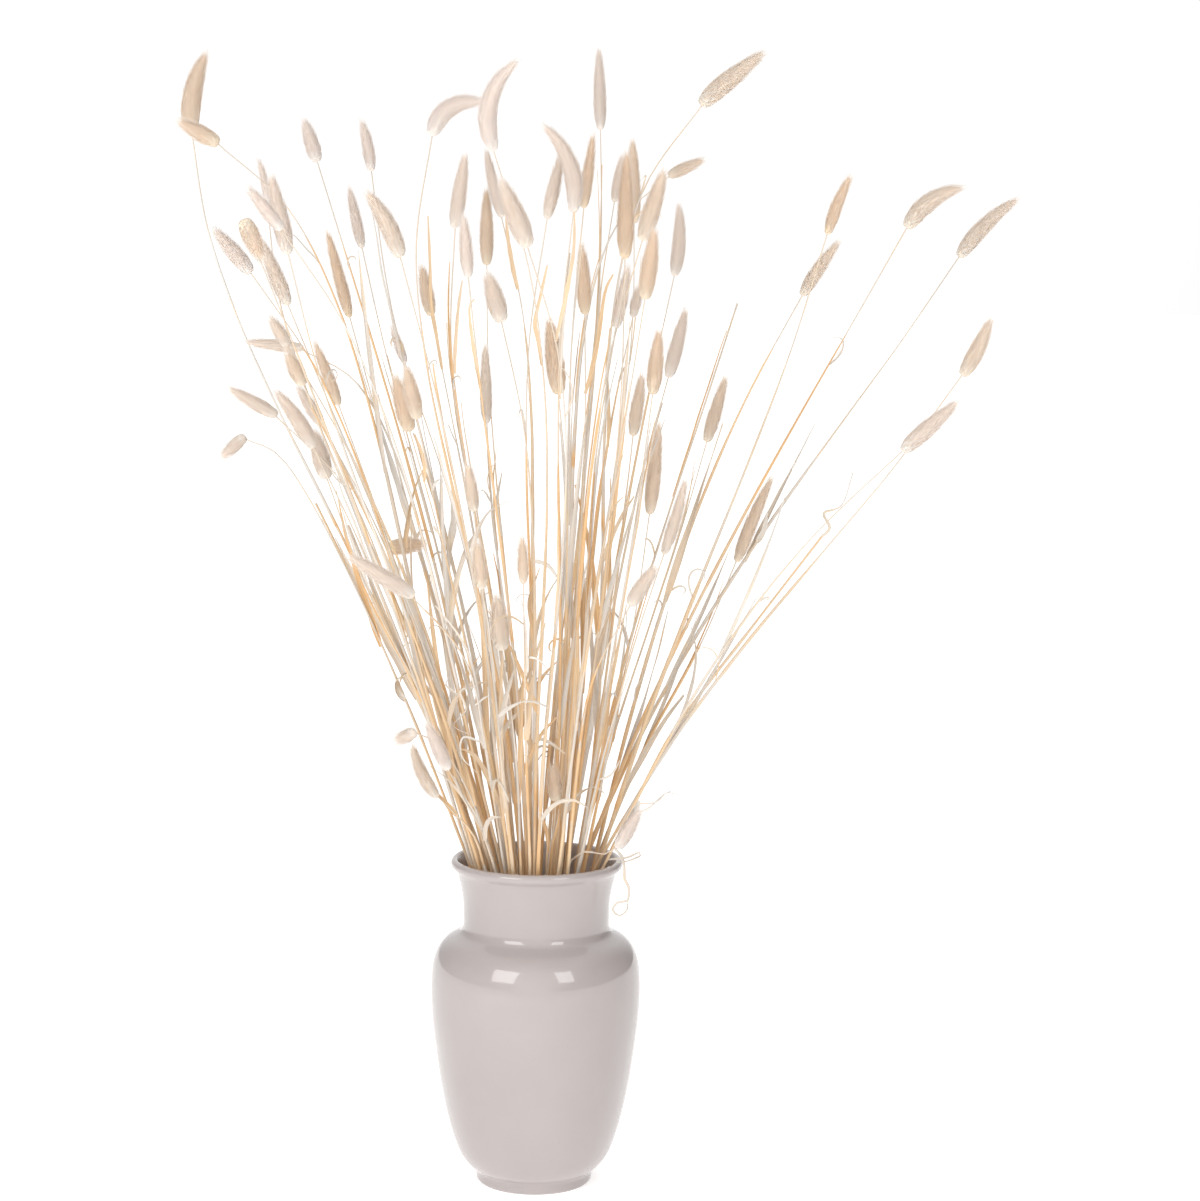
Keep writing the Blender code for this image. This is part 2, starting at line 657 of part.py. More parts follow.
def make_stem(name, shoots, sections, materials, collection):
    """One stem or tuft: its culms, blades and heads as one body."""
    culm_section, blade_section = sections
    straw, plume = materials
    culms, heads, blades = [], [], []
    for shoot in shoots:
        culms.append(make_swept(name + "_culm", shoot["points"], shoot["radii"], culm_section, straw))
        if shoot["line"] is not None:
            heads.append(make_head(name + "_head", shoot["line"], shoot["width"], plume))
        for blade in shoot["blades"]:
            shape = (blade["points"], blade["radii"], blade_section)
            blades.append(make_swept(name + "_blade", *shape, straw, blade["twist"]))
    stem = fuse(name, [*culms, *heads, *blades], collection)
    while stem is None and blades:
        bpy.data.objects.remove(blades.pop())
        print(name, "drops a blade")
        stem = fuse(name, [*culms, *heads, *blades], collection)
    for piece in [*culms, *heads, *blades]:
        bpy.data.objects.remove(piece)
    stem.data.shade_smooth()
    stem.data.set_sharp_from_angle(angle=SHARP_ANGLE)
    return stem


def main():
    clear_scene()
    collection = bpy.data.collections.new("vase_of_bunny_tail_grass")
    bpy.context.scene.collection.children.link(collection)
    glaze = make_material("greige_glaze", (0.62, 0.58, 0.55), 0.12)
    straw = make_material("dried_straw", (0.72, 0.53, 0.32), 0.6)
    plume = make_material("seed_head", (0.76, 0.58, 0.44), 0.9)
    make_vase(collection, glaze)
    space = Space()
    placed = place_shoots(space)
    place_blades(placed, space)
    turns = [CULM_TURN + math.tau * i / CULM_SIDES for i in range(CULM_SIDES)]
    corners = [(SECTION_CORNER * math.cos(turn), SECTION_CORNER * math.sin(turn)) for turn in turns]
    culm_section = make_section("culm_section", corners)
    blade_section = make_section("blade_section", [(-1.0, 0.0), (1.0, 0.0), (0.0, BLADE_KEEL)])
    for number, shoots in enumerate(placed, 1):
        kind = "stem" if len(shoots) == 1 else "tuft"
        name = f"{kind}_{number:02d}"
        make_stem(name, shoots, (culm_section, blade_section), (straw, plume), collection)
    for section in (culm_section, blade_section):
        bpy.data.objects.remove(section)


main()
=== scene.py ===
import math
import time

import bmesh
import bpy
import numpy as np
from mathutils import Matrix, Vector
from mathutils.kdtree import KDTree


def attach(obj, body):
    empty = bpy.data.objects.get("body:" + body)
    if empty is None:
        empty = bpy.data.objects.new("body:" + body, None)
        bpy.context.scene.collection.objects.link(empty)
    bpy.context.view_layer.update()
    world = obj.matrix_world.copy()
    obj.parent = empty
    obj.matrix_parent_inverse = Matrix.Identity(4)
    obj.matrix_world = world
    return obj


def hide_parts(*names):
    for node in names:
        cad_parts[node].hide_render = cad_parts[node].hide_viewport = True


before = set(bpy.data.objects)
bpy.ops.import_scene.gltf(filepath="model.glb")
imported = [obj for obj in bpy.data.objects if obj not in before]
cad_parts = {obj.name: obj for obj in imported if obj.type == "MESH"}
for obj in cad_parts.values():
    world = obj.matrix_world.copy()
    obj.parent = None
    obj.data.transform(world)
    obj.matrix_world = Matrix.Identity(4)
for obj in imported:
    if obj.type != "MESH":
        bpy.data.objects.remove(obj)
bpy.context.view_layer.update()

# Places and sizes below are in millimetres, and one factor makes them metres
mm = 0.001
started = time.perf_counter()


def report(stage):
    print(f"{stage}: {time.perf_counter() - started:.0f} s")


def linear(hexColour):  # sRGB hex to linear, with alpha
    parts = [int(hexColour[i:i + 2], 16) / 255 for i in (1, 3, 5)]
    return (*(c / 12.92 if c <= 0.04045 else ((c + 0.055) / 1.055) ** 2.4 for c in parts), 1.0)


# A key that names an input sets it, and any other key is a setting of the node
def addNode(tree, kind, settings=None, links=None):
    node = tree.nodes.new(kind)
    for key, value in (settings or {}).items():
        if isinstance(key, int) or key in node.inputs:
            node.inputs[key].default_value = value
        else:
            setattr(node, key, value)
    for key, socket in (links or {}).items():
        tree.links.new(socket, node.inputs[key])
    return node


# Camera: in front of the vase and a little above its middle, as the photo was taken
view = {
    "eye": (40.0, -1858.0, 621.5),
    "down": math.radians(7.0),
    "roll": math.radians(0.7),
    "lens": 85.0,
    "sensor": 36.0,
    "toPlane": 1843.0,  # from the eye to the plane in which the seen sizes below are true
    "seenCentre": (36.7, 393.0),
}


def makeCamera():
    data = bpy.data.cameras.new("camera")
    data.lens = view["lens"]
    data.sensor_width = view["sensor"]
    camera = bpy.data.objects.new("camera", data)
    bpy.context.scene.collection.objects.link(camera)
    tilt = Matrix.Rotation(math.pi / 2 - view["down"], 4, "X") @ Matrix.Rotation(view["roll"], 4, "Z")
    camera.matrix_world = Matrix.Translation(Vector(view["eye"]) * mm) @ tilt
    bpy.context.scene.camera = camera


makeCamera()

# The grass stands where the solid model has it: the same list of heads and the same seeded rule
stand = {
    "seed": 21,
    "gap": 0.3,
    "footCulm": 1.35,
    "upperCulm": 0.95,
    "stalk": 0.55,
    "forkCulm": 0.8,
    "thinning": (0.0, 0.5, 0.66, 0.8, 1.0),
    "corner": 1.25,
    "mouthHeight": 221.0,
    "leanReach": 200.0,
    "mostMouth": 51.0,
    "footSpread": 0.72,
    "footHeight": 8.3,
    "forkHeight": 140.0,
    "bendsInside": (192.0, 209.0),
    "culmStep": 80.0,
    "firstLean": 0.9,
    "firstReach": 0.4,
    "lastReach": (0.1, 0.2),
    "sway": 3.0,
    "headRings": 7,
    "fullest": 0.55,
    "blunt": 0.52,
    "headLean": 0.8,
    "bowReach": 2.0,
    "stalkInside": 0.1,
    "tuftOut": 1.16,
    "mostLean": 0.36,
    "mostLowLean": 0.5,
    "lowHead": 400.0,
    "tallHead": 600.0,
    "tuftApart": 0.07,
    "step": 3.0,
    "clear": 1.5,
    "leanTries": 90,
    "leanStep": 0.012,
    "mouthTries": ((0.0, 1.0), (0.03, 1.0), (-0.03, 1.0), (0.0, 0.86), (0.04, 0.86), (-0.04, 0.86), (0.0, 0.72)),
}
blade = {
    "points": 5,
    "taper": (0.75, 1.0, 1.0, 0.85, 0.6),
    "most": 90,
    "rounds": 3,
    "lowest": 0.04,
    "zone": 0.22,
    "rise": 0.2,
    "longest": 0.55,
    "shortest": 24.0,
    "tries": 12,
    "offInward": 1.4,
    "twist": 0.4,
    "kinds": (  # share of the blades, length, angle off the culm, bend, half width
        {"share": 0.66, "length": (70, 150), "spread": (4, 9), "bend": (2, 16), "half": (1.3, 2.3)},
        {"share": 0.22, "length": (45, 90), "spread": (12, 26), "bend": (30, 80), "half": (1.3, 1.7)},
        {"share": 0.12, "length": (35, 60), "spread": (20, 40), "bend": (110, 190), "half": (1.3, 1.5)},
    ),
}
vaseLook = {
    "height": 220.0,
    "sides": 192,
    "curveStep": 2.5,
    # radius and height down the outside, from the crest of the rolled lip to the foot
    "outside": (
        (54.2, 220.0), (55.7, 219.6), (56.9, 218.4), (57.4, 216.7), (56.9, 214.9), (55.3, 213.4), (53.7, 211.0),
        (51.2, 203.0), (49.3, 192.0),
        (48.9, 182.0), (48.9, 174.5), (50.2, 171.0), (54.5, 168.3), (60.0, 165.0), (65.0, 159.5), (68.4, 151.5),
        (69.9, 141.0), (70.2, 127.0), (69.2, 110.0), (67.0, 92.0), (64.2, 72.0), (60.4, 52.0), (56.4, 36.0),
        (52.0, 23.0), (48.0, 15.8), (43.6, 10.8), (39.8, 7.6), (39.0, 5.5), (38.8, 1.4), (37.8, 0.0),
    ),
    # radius and height up the inside, from the floor to the mouth
    "inside": (
        (0.0, 8.0), (28.0, 8.0), (36.0, 9.5), (50.0, 32.0), (62.3, 92.0), (65.4, 128.0), (62.5, 150.0),
        (53.0, 161.5), (44.4, 171.0), (44.4, 188.0), (46.6, 200.0), (50.4, 213.5), (52.7, 218.6),
    ),
    "solidInside": (  # the solid vase's inside, which the stems keep clear of
        (36.0, 8.0), (50.0, 32.0), (62.3, 92.0), (65.4, 128.0), (62.5, 150.0), (53.0, 161.5),
        (44.4, 171.0), (44.4, 188.0), (50.4, 213.5), (52.7, 218.6),
    ),
    "footRing": ((33.0, 0.0), (31.6, 2.2), (0.0, 2.4)),
}


# A head as seen from the front: base, tip, width, how far it bows to the right, -1 in front or 1 behind
def head(x, z, tipX, tipZ, width, bow=0.0, side=0):
    return {"base": (x, z), "tip": (tipX, tipZ), "width": width, "bow": bow, "side": side}


def cut(x, z, side=0):  # a shoot that lost its head
    return {"base": (x, z), "tip": None, "width": 0.0, "bow": 0.0, "side": side}


# Every tuft from left to right: one shoot, or two that share a foot
tufts = [
    [head(-229, 698, -220, 747, 14, bow=-3.5), head(-211, 690, -236, 704, 11.5, side=-1)],
    [head(-190, 606, -213, 633, 10.5), head(-195, 641, -184, 616, 11.5)],
    [head(-173, 513, -203, 530, 9), head(-194, 500, -208, 487, 9)],
    [head(-166, 618, -177, 668, 11, side=-1), head(-170, 634, -191, 660, 8.5)],
    [head(-180, 653, -185, 678, 5, bow=1, side=1)],
    [head(-166, 585, -183, 626, 10), head(-156, 557, -192, 561, 8)],
    [head(-166, 558, -177, 576, 8), head(-156, 533, -166, 553, 10)],
    [head(-149, 492, -173, 528, 10.5, bow=1, side=-1)],
    [head(-144, 507, -159, 531, 9), cut(-148, 456)],
    [head(-141, 472, -149, 502, 12, side=-1)],
    [head(-147, 678, -155, 704, 10.5), head(-126, 577, -140, 631, 8.5)],
    [head(-133, 520, -148, 559, 8), cut(-127, 442, side=-1)],
    [head(-112, 672, -118, 704, 8.5, bow=0.8)],
    [head(-118, 622, -126, 660, 8)],
    [head(-93, 616, -114, 657, 11.5, bow=2, side=-1)],
    [head(-90, 547, -98, 570, 6.5)],
    [head(-82, 511, -89, 543, 10)],
    [head(-87, 503, -96, 537, 11.5, side=-1)],
    [head(-101, 427, -79, 430, 12)],
    [head(-84, 396, -125, 421, 10.5, side=-1)],
    [head(-83, 308, -95, 302, 9), head(-69, 265, -85, 298, 8.5, bow=-2.2)],
    [head(-62, 283, -75, 312, 9.5, side=-1)],
    [head(-73, 695, -40, 717, 12, bow=-7.5)],
    [head(-73, 578, -79, 609, 10)],
    [head(-58, 635, -51, 682, 9.5)],
    [head(-49, 603, -52, 642, 8)],
    [head(-37, 611, -37, 659, 10.3)],
    [head(-32, 685, -18, 743, 11, bow=-9)],
    [head(-27, 642, -37, 685, 8.5, bow=-0.8)],
    [head(-27, 574, -36, 604, 12, side=-1)],
    [head(-45, 451, -49, 480, 8, side=-1), head(-40, 401, -43, 429, 9, side=-1)],
    [head(-37, 508, -38, 558, 8.5)],
    [head(-10, 623, -27, 665, 12.5, side=-1)],
    [head(-27, 361, -30, 394, 12, side=-1), head(-13, 404, -14, 433, 6.5, side=-1)],
    [head(19, 645, 1, 701, 11, bow=7.2, side=-1)],
    [head(2, 641, 12, 684, 8)],
    [head(26, 648, 32, 694, 7.2)],
    [head(37, 699, 36, 750, 9.5)],
    [head(10, 527, 4, 574, 12.5, side=-1)],
    [head(27, 579, 25, 622, 9.5)],
    [head(8, 263, 6, 284, 10.5, side=-1)],
    [head(59, 638, 58, 691, 10), head(46, 652, 51, 681, 7.5, side=1)],
    [head(53, 615, 54, 682, 11)],
    [head(47, 570, 55, 609, 8), head(58, 577, 62, 596, 7)],
    [head(64, 627, 78, 671, 11.3, side=-1)],
    [head(66, 589, 72, 633, 10)],
    [head(85, 604, 88, 649, 10.3, bow=1.8), head(81, 669, 103, 679, 9)],
    [head(71, 527, 75, 567, 10), head(58, 500, 64, 539, 8.5)],
    [head(81, 538, 92, 581, 10.5, bow=0.4)],
    [head(69, 449, 75, 506, 9.5, side=-1)],
    [head(78, 423, 92, 470, 7.6, bow=0.8, side=-1), head(56, 390, 72, 414, 10)],
    [head(48, 232, 62, 256, 9.5, side=-1)],
    [head(102, 715, 142, 748, 13, bow=-0.8)],
    [head(106, 496, 118, 537, 9.7), cut(126, 586)],
    [head(125.5, 418, 148, 472, 9, bow=-0.9), cut(182, 436)],
    [head(184.5, 631, 199, 668, 8, bow=-1), head(168, 591, 191, 625, 9, bow=-0.8)],
    [head(236, 635, 271, 661, 12.5, bow=-4.8)],
    [head(270, 616, 307, 653, 11.5, bow=-3)],
    [head(272, 539, 290, 574, 10.5, bow=1), head(233, 490, 268, 521, 11)],
]


def fromFront(seen, depth):  # the point at this depth behind the vase's axis that shows at a seen place
    across, up = np.array(seen) - np.array(view["seenCentre"])
    turn, lift = math.cos(view["roll"]), math.sin(view["roll"])
    across, up = across * turn - up * lift, across * lift + up * turn
    down = view["down"]
    ray = np.array((
        across,
        view["toPlane"] * math.cos(down) + up * math.sin(down),
        up * math.cos(down) - view["toPlane"] * math.sin(down),
    ))
    return np.array(view["eye"]) + ray * (depth - view["eye"][1]) / ray[1]


def seenAt(points):  # the place at which each point shows from the front, the reverse of fromFront
    down, roll = view["down"], view["roll"]
    sight = points - np.array(view["eye"])
    ahead = sight @ np.array((0.0, math.cos(down), -math.sin(down)))
    across = view["toPlane"] * sight[:, 0] / ahead
    up = view["toPlane"] * (sight @ np.array((0.0, math.sin(down), math.cos(down)))) / ahead
    turned = (across * math.cos(roll) + up * math.sin(roll), up * math.cos(roll) - across * math.sin(roll))
    return np.stack(turned, axis=1) + np.array(view["seenCentre"])


def unit(vector):
    return vector / np.linalg.norm(vector)


def bezier(points, count):
    t = np.linspace(0.0, 1.0, count)[:, None]
    degree = len(points) - 1
    return sum(
        math.comb(degree, i) * t**i * (1 - t) ** (degree - i) * np.array(p) for i, p in enumerate(points)
    )


def headLine(shoot, leanY, depth):  # the control points of a head's curved middle line
    base = fromFront(shoot["base"], depth)
    rise = shoot["tip"][1] - shoot["base"][1]
    tip = fromFront(shoot["tip"], depth + stand["headLean"] * leanY * rise)
    along = unit(tip - base)
    right = unit(np.cross((0.0, 1.0, 0.0), along))
    return [base, (base + tip) / 2 + stand["bowReach"] * shoot["bow"] * right, tip]


def leanAcross(shoot):
    end = fromFront(shoot["base"], 0.0)
    return end[0] / (stand["leanReach"] + end[2] - stand["mouthHeight"])


def culmPoints(shoot, leanY, shift, inset, fork, sway):
    mouthHeight, footHeight, spread = stand["mouthHeight"], stand["footHeight"], stand["footSpread"]
    height = fromFront(shoot["base"], 0.0)[2]
    depth = leanY * (stand["leanReach"] + height - mouthHeight)
    end = fromFront(shoot["base"], depth)
    lean = np.array((leanAcross(shoot) + shift, leanY))
    slope = np.linalg.norm(lean)
    out = inset * stand["mostMouth"] * math.tanh(slope * stand["leanReach"] / stand["mostMouth"])
    mouth = lean / slope * out
    start = np.array((*mouth, mouthHeight))
    length = np.linalg.norm(end - start)
    away = unit(np.array((*(lean * stand["firstLean"]), 1.0)))
    into = straight = unit(end - start)
    line = None
    if shoot["tip"]:
        line = headLine(shoot, leanY, depth)
        into = unit(line[1] - line[0])
    reach = length * (stand["lastReach"][0] + stand["lastReach"][1] * max(0.0, float(straight @ into)))
    count = max(3, round(length / stand["culmStep"])) + 1
    above = bezier([start, start + stand["firstReach"] * length * away, end - reach * into, end], count)
    above[:, :2] += np.outer(np.sin(np.linspace(0.0, math.pi, count)), sway)
    if line is not None:
        above[-1] += into * stand["stalkInside"] * np.linalg.norm(line[2] - line[0])
    power = slope * (mouthHeight - footHeight) / ((1 - spread) * out)

    def below(height):
        rise = (height - footHeight) / (mouthHeight - footHeight)
        return mouth * (spread + (1 - spread) * rise**power)

    low = footHeight if fork is None else stand["forkHeight"]
    aside = np.zeros(2) if fork is None else fork[:2] - below(low)
    inside = []
    for height in (low, *stand["bendsInside"]):
        left = (mouthHeight - height) / (mouthHeight - low)
        inside.append((*(below(height) + aside * left), height))
    inside = np.array(inside)
    along = (stand["forkHeight"] - inside[0][2]) / (inside[1][2] - inside[0][2])
    return np.vstack([inside, above]), line, inside[0] + (inside[1] - inside[0]) * along


def culmRadii(points, headless, forked):
    steps = np.linalg.norm(np.diff(points, axis=0), axis=1)
    share = np.concatenate([[0.0], np.cumsum(steps)]) / steps.sum()
    foot, upper = stand["footCulm"], stand["upperCulm"]
    top = upper if headless else stand["stalk"]
    radii = np.interp(share, stand["thinning"], (foot, foot, upper, top, top))
    if forked:
        radii[0] = stand["forkCulm"]
    return radii


def headRadius(share, width):  # fullest below the middle and drawn out to the tip
    return 0.5 * width * np.sin(math.pi * np.clip(share, 0, 1) ** stand["fullest"]) ** stand["blunt"]


def isClearOfVase(points, radii):
    heights = [z for _, z in vaseLook["solidInside"]]
    walls = [r for r, _ in vaseLook["solidInside"]]
    for point, radius in zip(points, radii):
        out = math.hypot(point[0], point[1])
        height = point[2]
        if height < vaseLook["height"]:
            if out + radius > np.interp(height, heights, walls) - 2 * stand["gap"]:
                return False
        elif out + radius > walls[-1] - stand["gap"] and height - radius < vaseLook["height"] + stand["gap"]:
            return False
    return True


def densify(points, radii):
    places, sizes = [], []
    for i in range(len(points) - 1):
        count = max(1, math.ceil(np.linalg.norm(points[i + 1] - points[i]) / stand["step"]))
        for share in np.arange(count) / count:
            places.append(points[i] + (points[i + 1] - points[i]) * share)
            sizes.append(radii[i] + (radii[i + 1] - radii[i]) * share)
    return np.array([*places, points[-1]]), np.array([*sizes, radii[-1]])


class Space:  # what the stems placed so far fill

    def __init__(self):
        self.points = []
        self.radii = []
        self.owners = []
        self.tree = KDTree(0)
        self.tree.balance()
        self.widest = 0.0

    def add(self, points, radii, owner):
        self.points.extend(points)
        self.radii.extend(radii)
        self.owners.extend([owner] * len(points))
        self.tree = KDTree(len(self.points))
        for index, point in enumerate(self.points):
            self.tree.insert(point, index)
        self.tree.balance()
        self.widest = max(self.radii)

    def isClear(self, points, radii, owner):
        clear = stand["clear"]
        for point, radius in zip(points, radii):
            for _, index, distance in self.tree.find_range(point, radius + self.widest + clear):
                if self.owners[index] != owner and distance < radius + self.radii[index] + clear:
                    return False
        return True


def headSpine(line, width):
    share = np.linspace(0.0, 1.0, stand["headRings"] + 1)
    return bezier(line, stand["headRings"] + 1), stand["tuftOut"] * headRadius(share, width)


def fitShoot(shoot, target, fork, sway, space, tuftNumber):
    for step in range(stand["leanTries"]):
        leanY = target + stand["leanStep"] * math.ceil(step / 2) * (-1) ** step
        for shift, inset in stand["mouthTries"]:
            points, line, foot = culmPoints(shoot, leanY, shift, inset, fork, sway)
            radii = culmRadii(points, line is None, fork is not None)
            dense, sizes = densify(points, radii * stand["corner"])
            if line is not None:
                middle, widths = densify(*headSpine(line, shoot["width"]))
                dense = np.vstack([dense, middle])
                sizes = np.concatenate([sizes, widths])
            if isClearOfVase(dense, sizes) and space.isClear(dense, sizes, tuftNumber):
                space.add(dense, sizes, tuftNumber)
                shape = {"points": points, "radii": radii, "line": line, "leanY": leanY, "fork": foot}
                return {**shoot, **shape}
    raise ValueError(f"no clear place for the shoot seen at {shoot['base']}")


def placeShoots(space, rng):
    placed = [[] for _ in tufts]
    order = sorted(range(len(tufts)), key=lambda i: min(shoot["base"][1] for shoot in tufts[i]) >= stand["lowHead"])
    count = sum(len(tuft) for tuft in tufts)
    strata = rng.permutation((np.arange(count) + 0.5) / count)
    sides = rng.permutation(np.where(np.arange(count) % 2 == 0, -1, 1))
    number = 0
    for tuftNumber in order:
        fork = None
        firstLean = None
        for shoot in tufts[tuftNumber]:
            height = fromFront(shoot["base"], 0.0)[2]
            heights = (stand["lowHead"], stand["tallHead"])
            widest = np.interp(height, heights, (stand["mostLowLean"], stand["mostLean"]))
            side = shoot["side"] or sides[number]
            target = side * math.sqrt(max(0.0, widest**2 - leanAcross(shoot) ** 2) * strata[number])
            if firstLean is not None:
                target = firstLean + stand["tuftApart"] * side
            sway = rng.uniform(-stand["sway"], stand["sway"], 2)
            number += 1
            shoot = fitShoot(shoot, target, fork, sway, space, tuftNumber)
            firstLean = shoot["leanY"]
            fork = shoot["fork"]
            placed[tuftNumber].append(shoot)
    return placed


def pointOn(points, share):
    steps = np.linalg.norm(np.diff(points, axis=0), axis=1)
    length = np.concatenate([[0.0], np.cumsum(steps)])
    i = min(int(np.searchsorted(length, share * length[-1], side="right")) - 1, len(steps) - 1)
    rest = (share * length[-1] - length[i]) / steps[i]
    return points[i] + (points[i + 1] - points[i]) * rest, unit(points[i + 1] - points[i])


def turned(vector, axis, angle):
    across = np.cross(axis, vector) * math.sin(angle)
    return vector * math.cos(angle) + across + axis * (axis @ vector) * (1 - math.cos(angle))


def bladePoints(culm, share, azimuth, length, spread, bend):
    start, along = pointOn(culm, share)
    side = unit(np.cross(along, (math.cos(azimuth), math.sin(azimuth), 0.0)))
    heading = turned(along, side, math.radians(spread))
    points = [start]
    runs = blade["points"] - 1
    for run in range(1, blade["points"]):
        points.append(points[-1] + heading * length / runs)
        heading = turned(heading, side, math.radians(bend) * 2 * run / (runs * blade["points"]))
    return np.array(points)


def bladeKind(rng):
    draw = rng.random()
    for kind in blade["kinds"]:
        if draw < kind["share"]:
            break
        draw -= kind["share"]
    return [rng.uniform(*kind[size]) for size in ("length", "spread", "bend", "half")]


def placeBlades(placed, space, rng):
    order = [(number, shoot) for number, shoots in enumerate(placed) for shoot in shoots]
    for _, shoot in order:
        shoot["blades"] = []
    total = 0
    mouthHeight = stand["mouthHeight"]
    for later in range(blade["rounds"]):
        for index in rng.permutation(len(order)):
            number, shoot = order[index]
            tall = shoot["points"][-1][2]
            above = (tall - mouthHeight) / tall
            share = 1 - above + above * (blade["lowest"] + blade["rise"] * later + blade["zone"] * rng.random())
            length, spread, bend, half = bladeKind(rng)
            length = min(length, blade["longest"] * (tall - mouthHeight))
            inward = math.atan2(-shoot["points"][-1][1], -shoot["points"][-1][0])
            first = inward + rng.uniform(-blade["offInward"], blade["offInward"])
            twist = rng.uniform(-blade["twist"], blade["twist"])
            if total >= blade["most"] or length < blade["shortest"]:
                continue
            for step in range(blade["tries"]):
                azimuth = first + math.ceil(step / 2) * (-1) ** step * math.tau / blade["tries"]
                points = bladePoints(shoot["points"], share, azimuth, length, spread, bend)
                radii = half * np.array(blade["taper"])
                dense, sizes = densify(points, radii)
                if isClearOfVase(dense, sizes + stand["gap"]) and space.isClear(dense, sizes, number):
                    shoot["blades"].append({"points": points, "half": half, "twist": twist, "share": share})
                    space.add(dense, sizes, number)
                    total += 1
                    break


def placeGrass():
    rng = np.random.default_rng(stand["seed"])
    space = Space()
    placed = placeShoots(space, rng)
    placeBlades(placed, space, rng)
    return placed


placed = placeGrass()
report("grass placed")


# Vase glaze: an opaque greige glaze fired on stoneware. It pools a little, so its colour and its shine
# drift slowly, and its skin has the soft waves that show where a reflection crosses it.
def makeGlaze():
    material = bpy.data.materials.new("greige_glaze_on_stoneware")
    material.use_nodes = True
    tree = material.node_tree
    shader = tree.nodes["Principled BSDF"]
    shader.inputs["IOR"].default_value = 1.5
    shader.inputs["Coat Weight"].default_value = 0.4
    shader.inputs["Coat Roughness"].default_value = 0.02
    shader.inputs["Coat IOR"].default_value = 1.5
    place = addNode(tree, "ShaderNodeTexCoord")
    pooling = addNode(tree, "ShaderNodeTexNoise", {"Scale": 14.0, "Detail": 3.0}, {"Vector": place.outputs["Object"]})
    tone = addNode(tree, "ShaderNodeValToRGB", links={"Fac": pooling.outputs["Fac"]})
    tone.color_ramp.elements[0].position = 0.3
    tone.color_ramp.elements[0].color = linear("#aaa19f")
    tone.color_ramp.elements[1].position = 0.7
    tone.color_ramp.elements[1].color = linear("#b0a7a5")
    pits = addNode(tree, "ShaderNodeTexVoronoi", {"Scale": 110.0}, {"Vector": place.outputs["Object"]})
    dot = addNode(tree, "ShaderNodeMapRange", {"From Min": 0.02, "From Max": 0.05}, {"Value": pits.outputs["Distance"]})
    colour = addNode(
        tree, "ShaderNodeMix", {"data_type": "RGBA", 6: linear("#a3978f")},
        {0: dot.outputs["Result"], 7: tone.outputs["Color"]},
    )
    tree.links.new(colour.outputs[2], shader.inputs["Base Color"])
    shine = addNode(
        tree, "ShaderNodeMapRange", {"To Min": 0.06, "To Max": 0.14}, {"Value": pooling.outputs["Fac"]},
    )
    tree.links.new(shine.outputs["Result"], shader.inputs["Roughness"])
    waves = addNode(tree, "ShaderNodeTexNoise", {"Scale": 45.0, "Detail": 2.0}, {"Vector": place.outputs["Object"]})
    skin = addNode(tree, "ShaderNodeBump", {"Strength": 0.25, "Distance": 0.0004}, {"Height": waves.outputs["Fac"]})
    tree.links.new(skin.outputs["Normal"], shader.inputs["Normal"])
    return material


# Bare stoneware on the foot ring, where the glaze was wiped off before firing: matt and a little grainy
def makeBisque():
    material = bpy.data.materials.new("bare_stoneware")
    material.use_nodes = True
    tree = material.node_tree
    shader = tree.nodes["Principled BSDF"]
    shader.inputs["Roughness"].default_value = 0.85
    place = addNode(tree, "ShaderNodeTexCoord")
    grain = addNode(tree, "ShaderNodeTexNoise", {"Scale": 900.0}, {"Vector": place.outputs["Object"]})
    tone = addNode(tree, "ShaderNodeValToRGB", links={"Fac": grain.outputs["Fac"]})
    tone.color_ramp.elements[0].color = linear("#b8a893")
    tone.color_ramp.elements[1].color = linear("#d8ccba")
    tree.links.new(tone.outputs["Color"], shader.inputs["Base Color"])
    rough = addNode(tree, "ShaderNodeBump", {"Strength": 0.4, "Distance": 0.0002}, {"Height": grain.outputs["Fac"]})
    tree.links.new(rough.outputs["Normal"], shader.inputs["Normal"])
    return material


def smoothLine(points, step):  # a Catmull-Rom curve through the points, in steps of about this length
    points = np.array(points, float)
    ends = np.vstack([2 * points[0] - points[1], points, 2 * points[-1] - points[-2]])
    out = []
    for i in range(1, len(ends) - 2):
        a, b, c, d = ends[i - 1:i + 3]
        count = max(1, round(np.linalg.norm(c - b) / step))
        for t in np.arange(count) / count:
            out.append(0.5 * (
                2 * b + (c - a) * t + (2 * a - 5 * b + 4 * c - d) * t**2 + (3 * b - a - 3 * c + d) * t**3
            ))
    return np.array([*out, points[-1]])


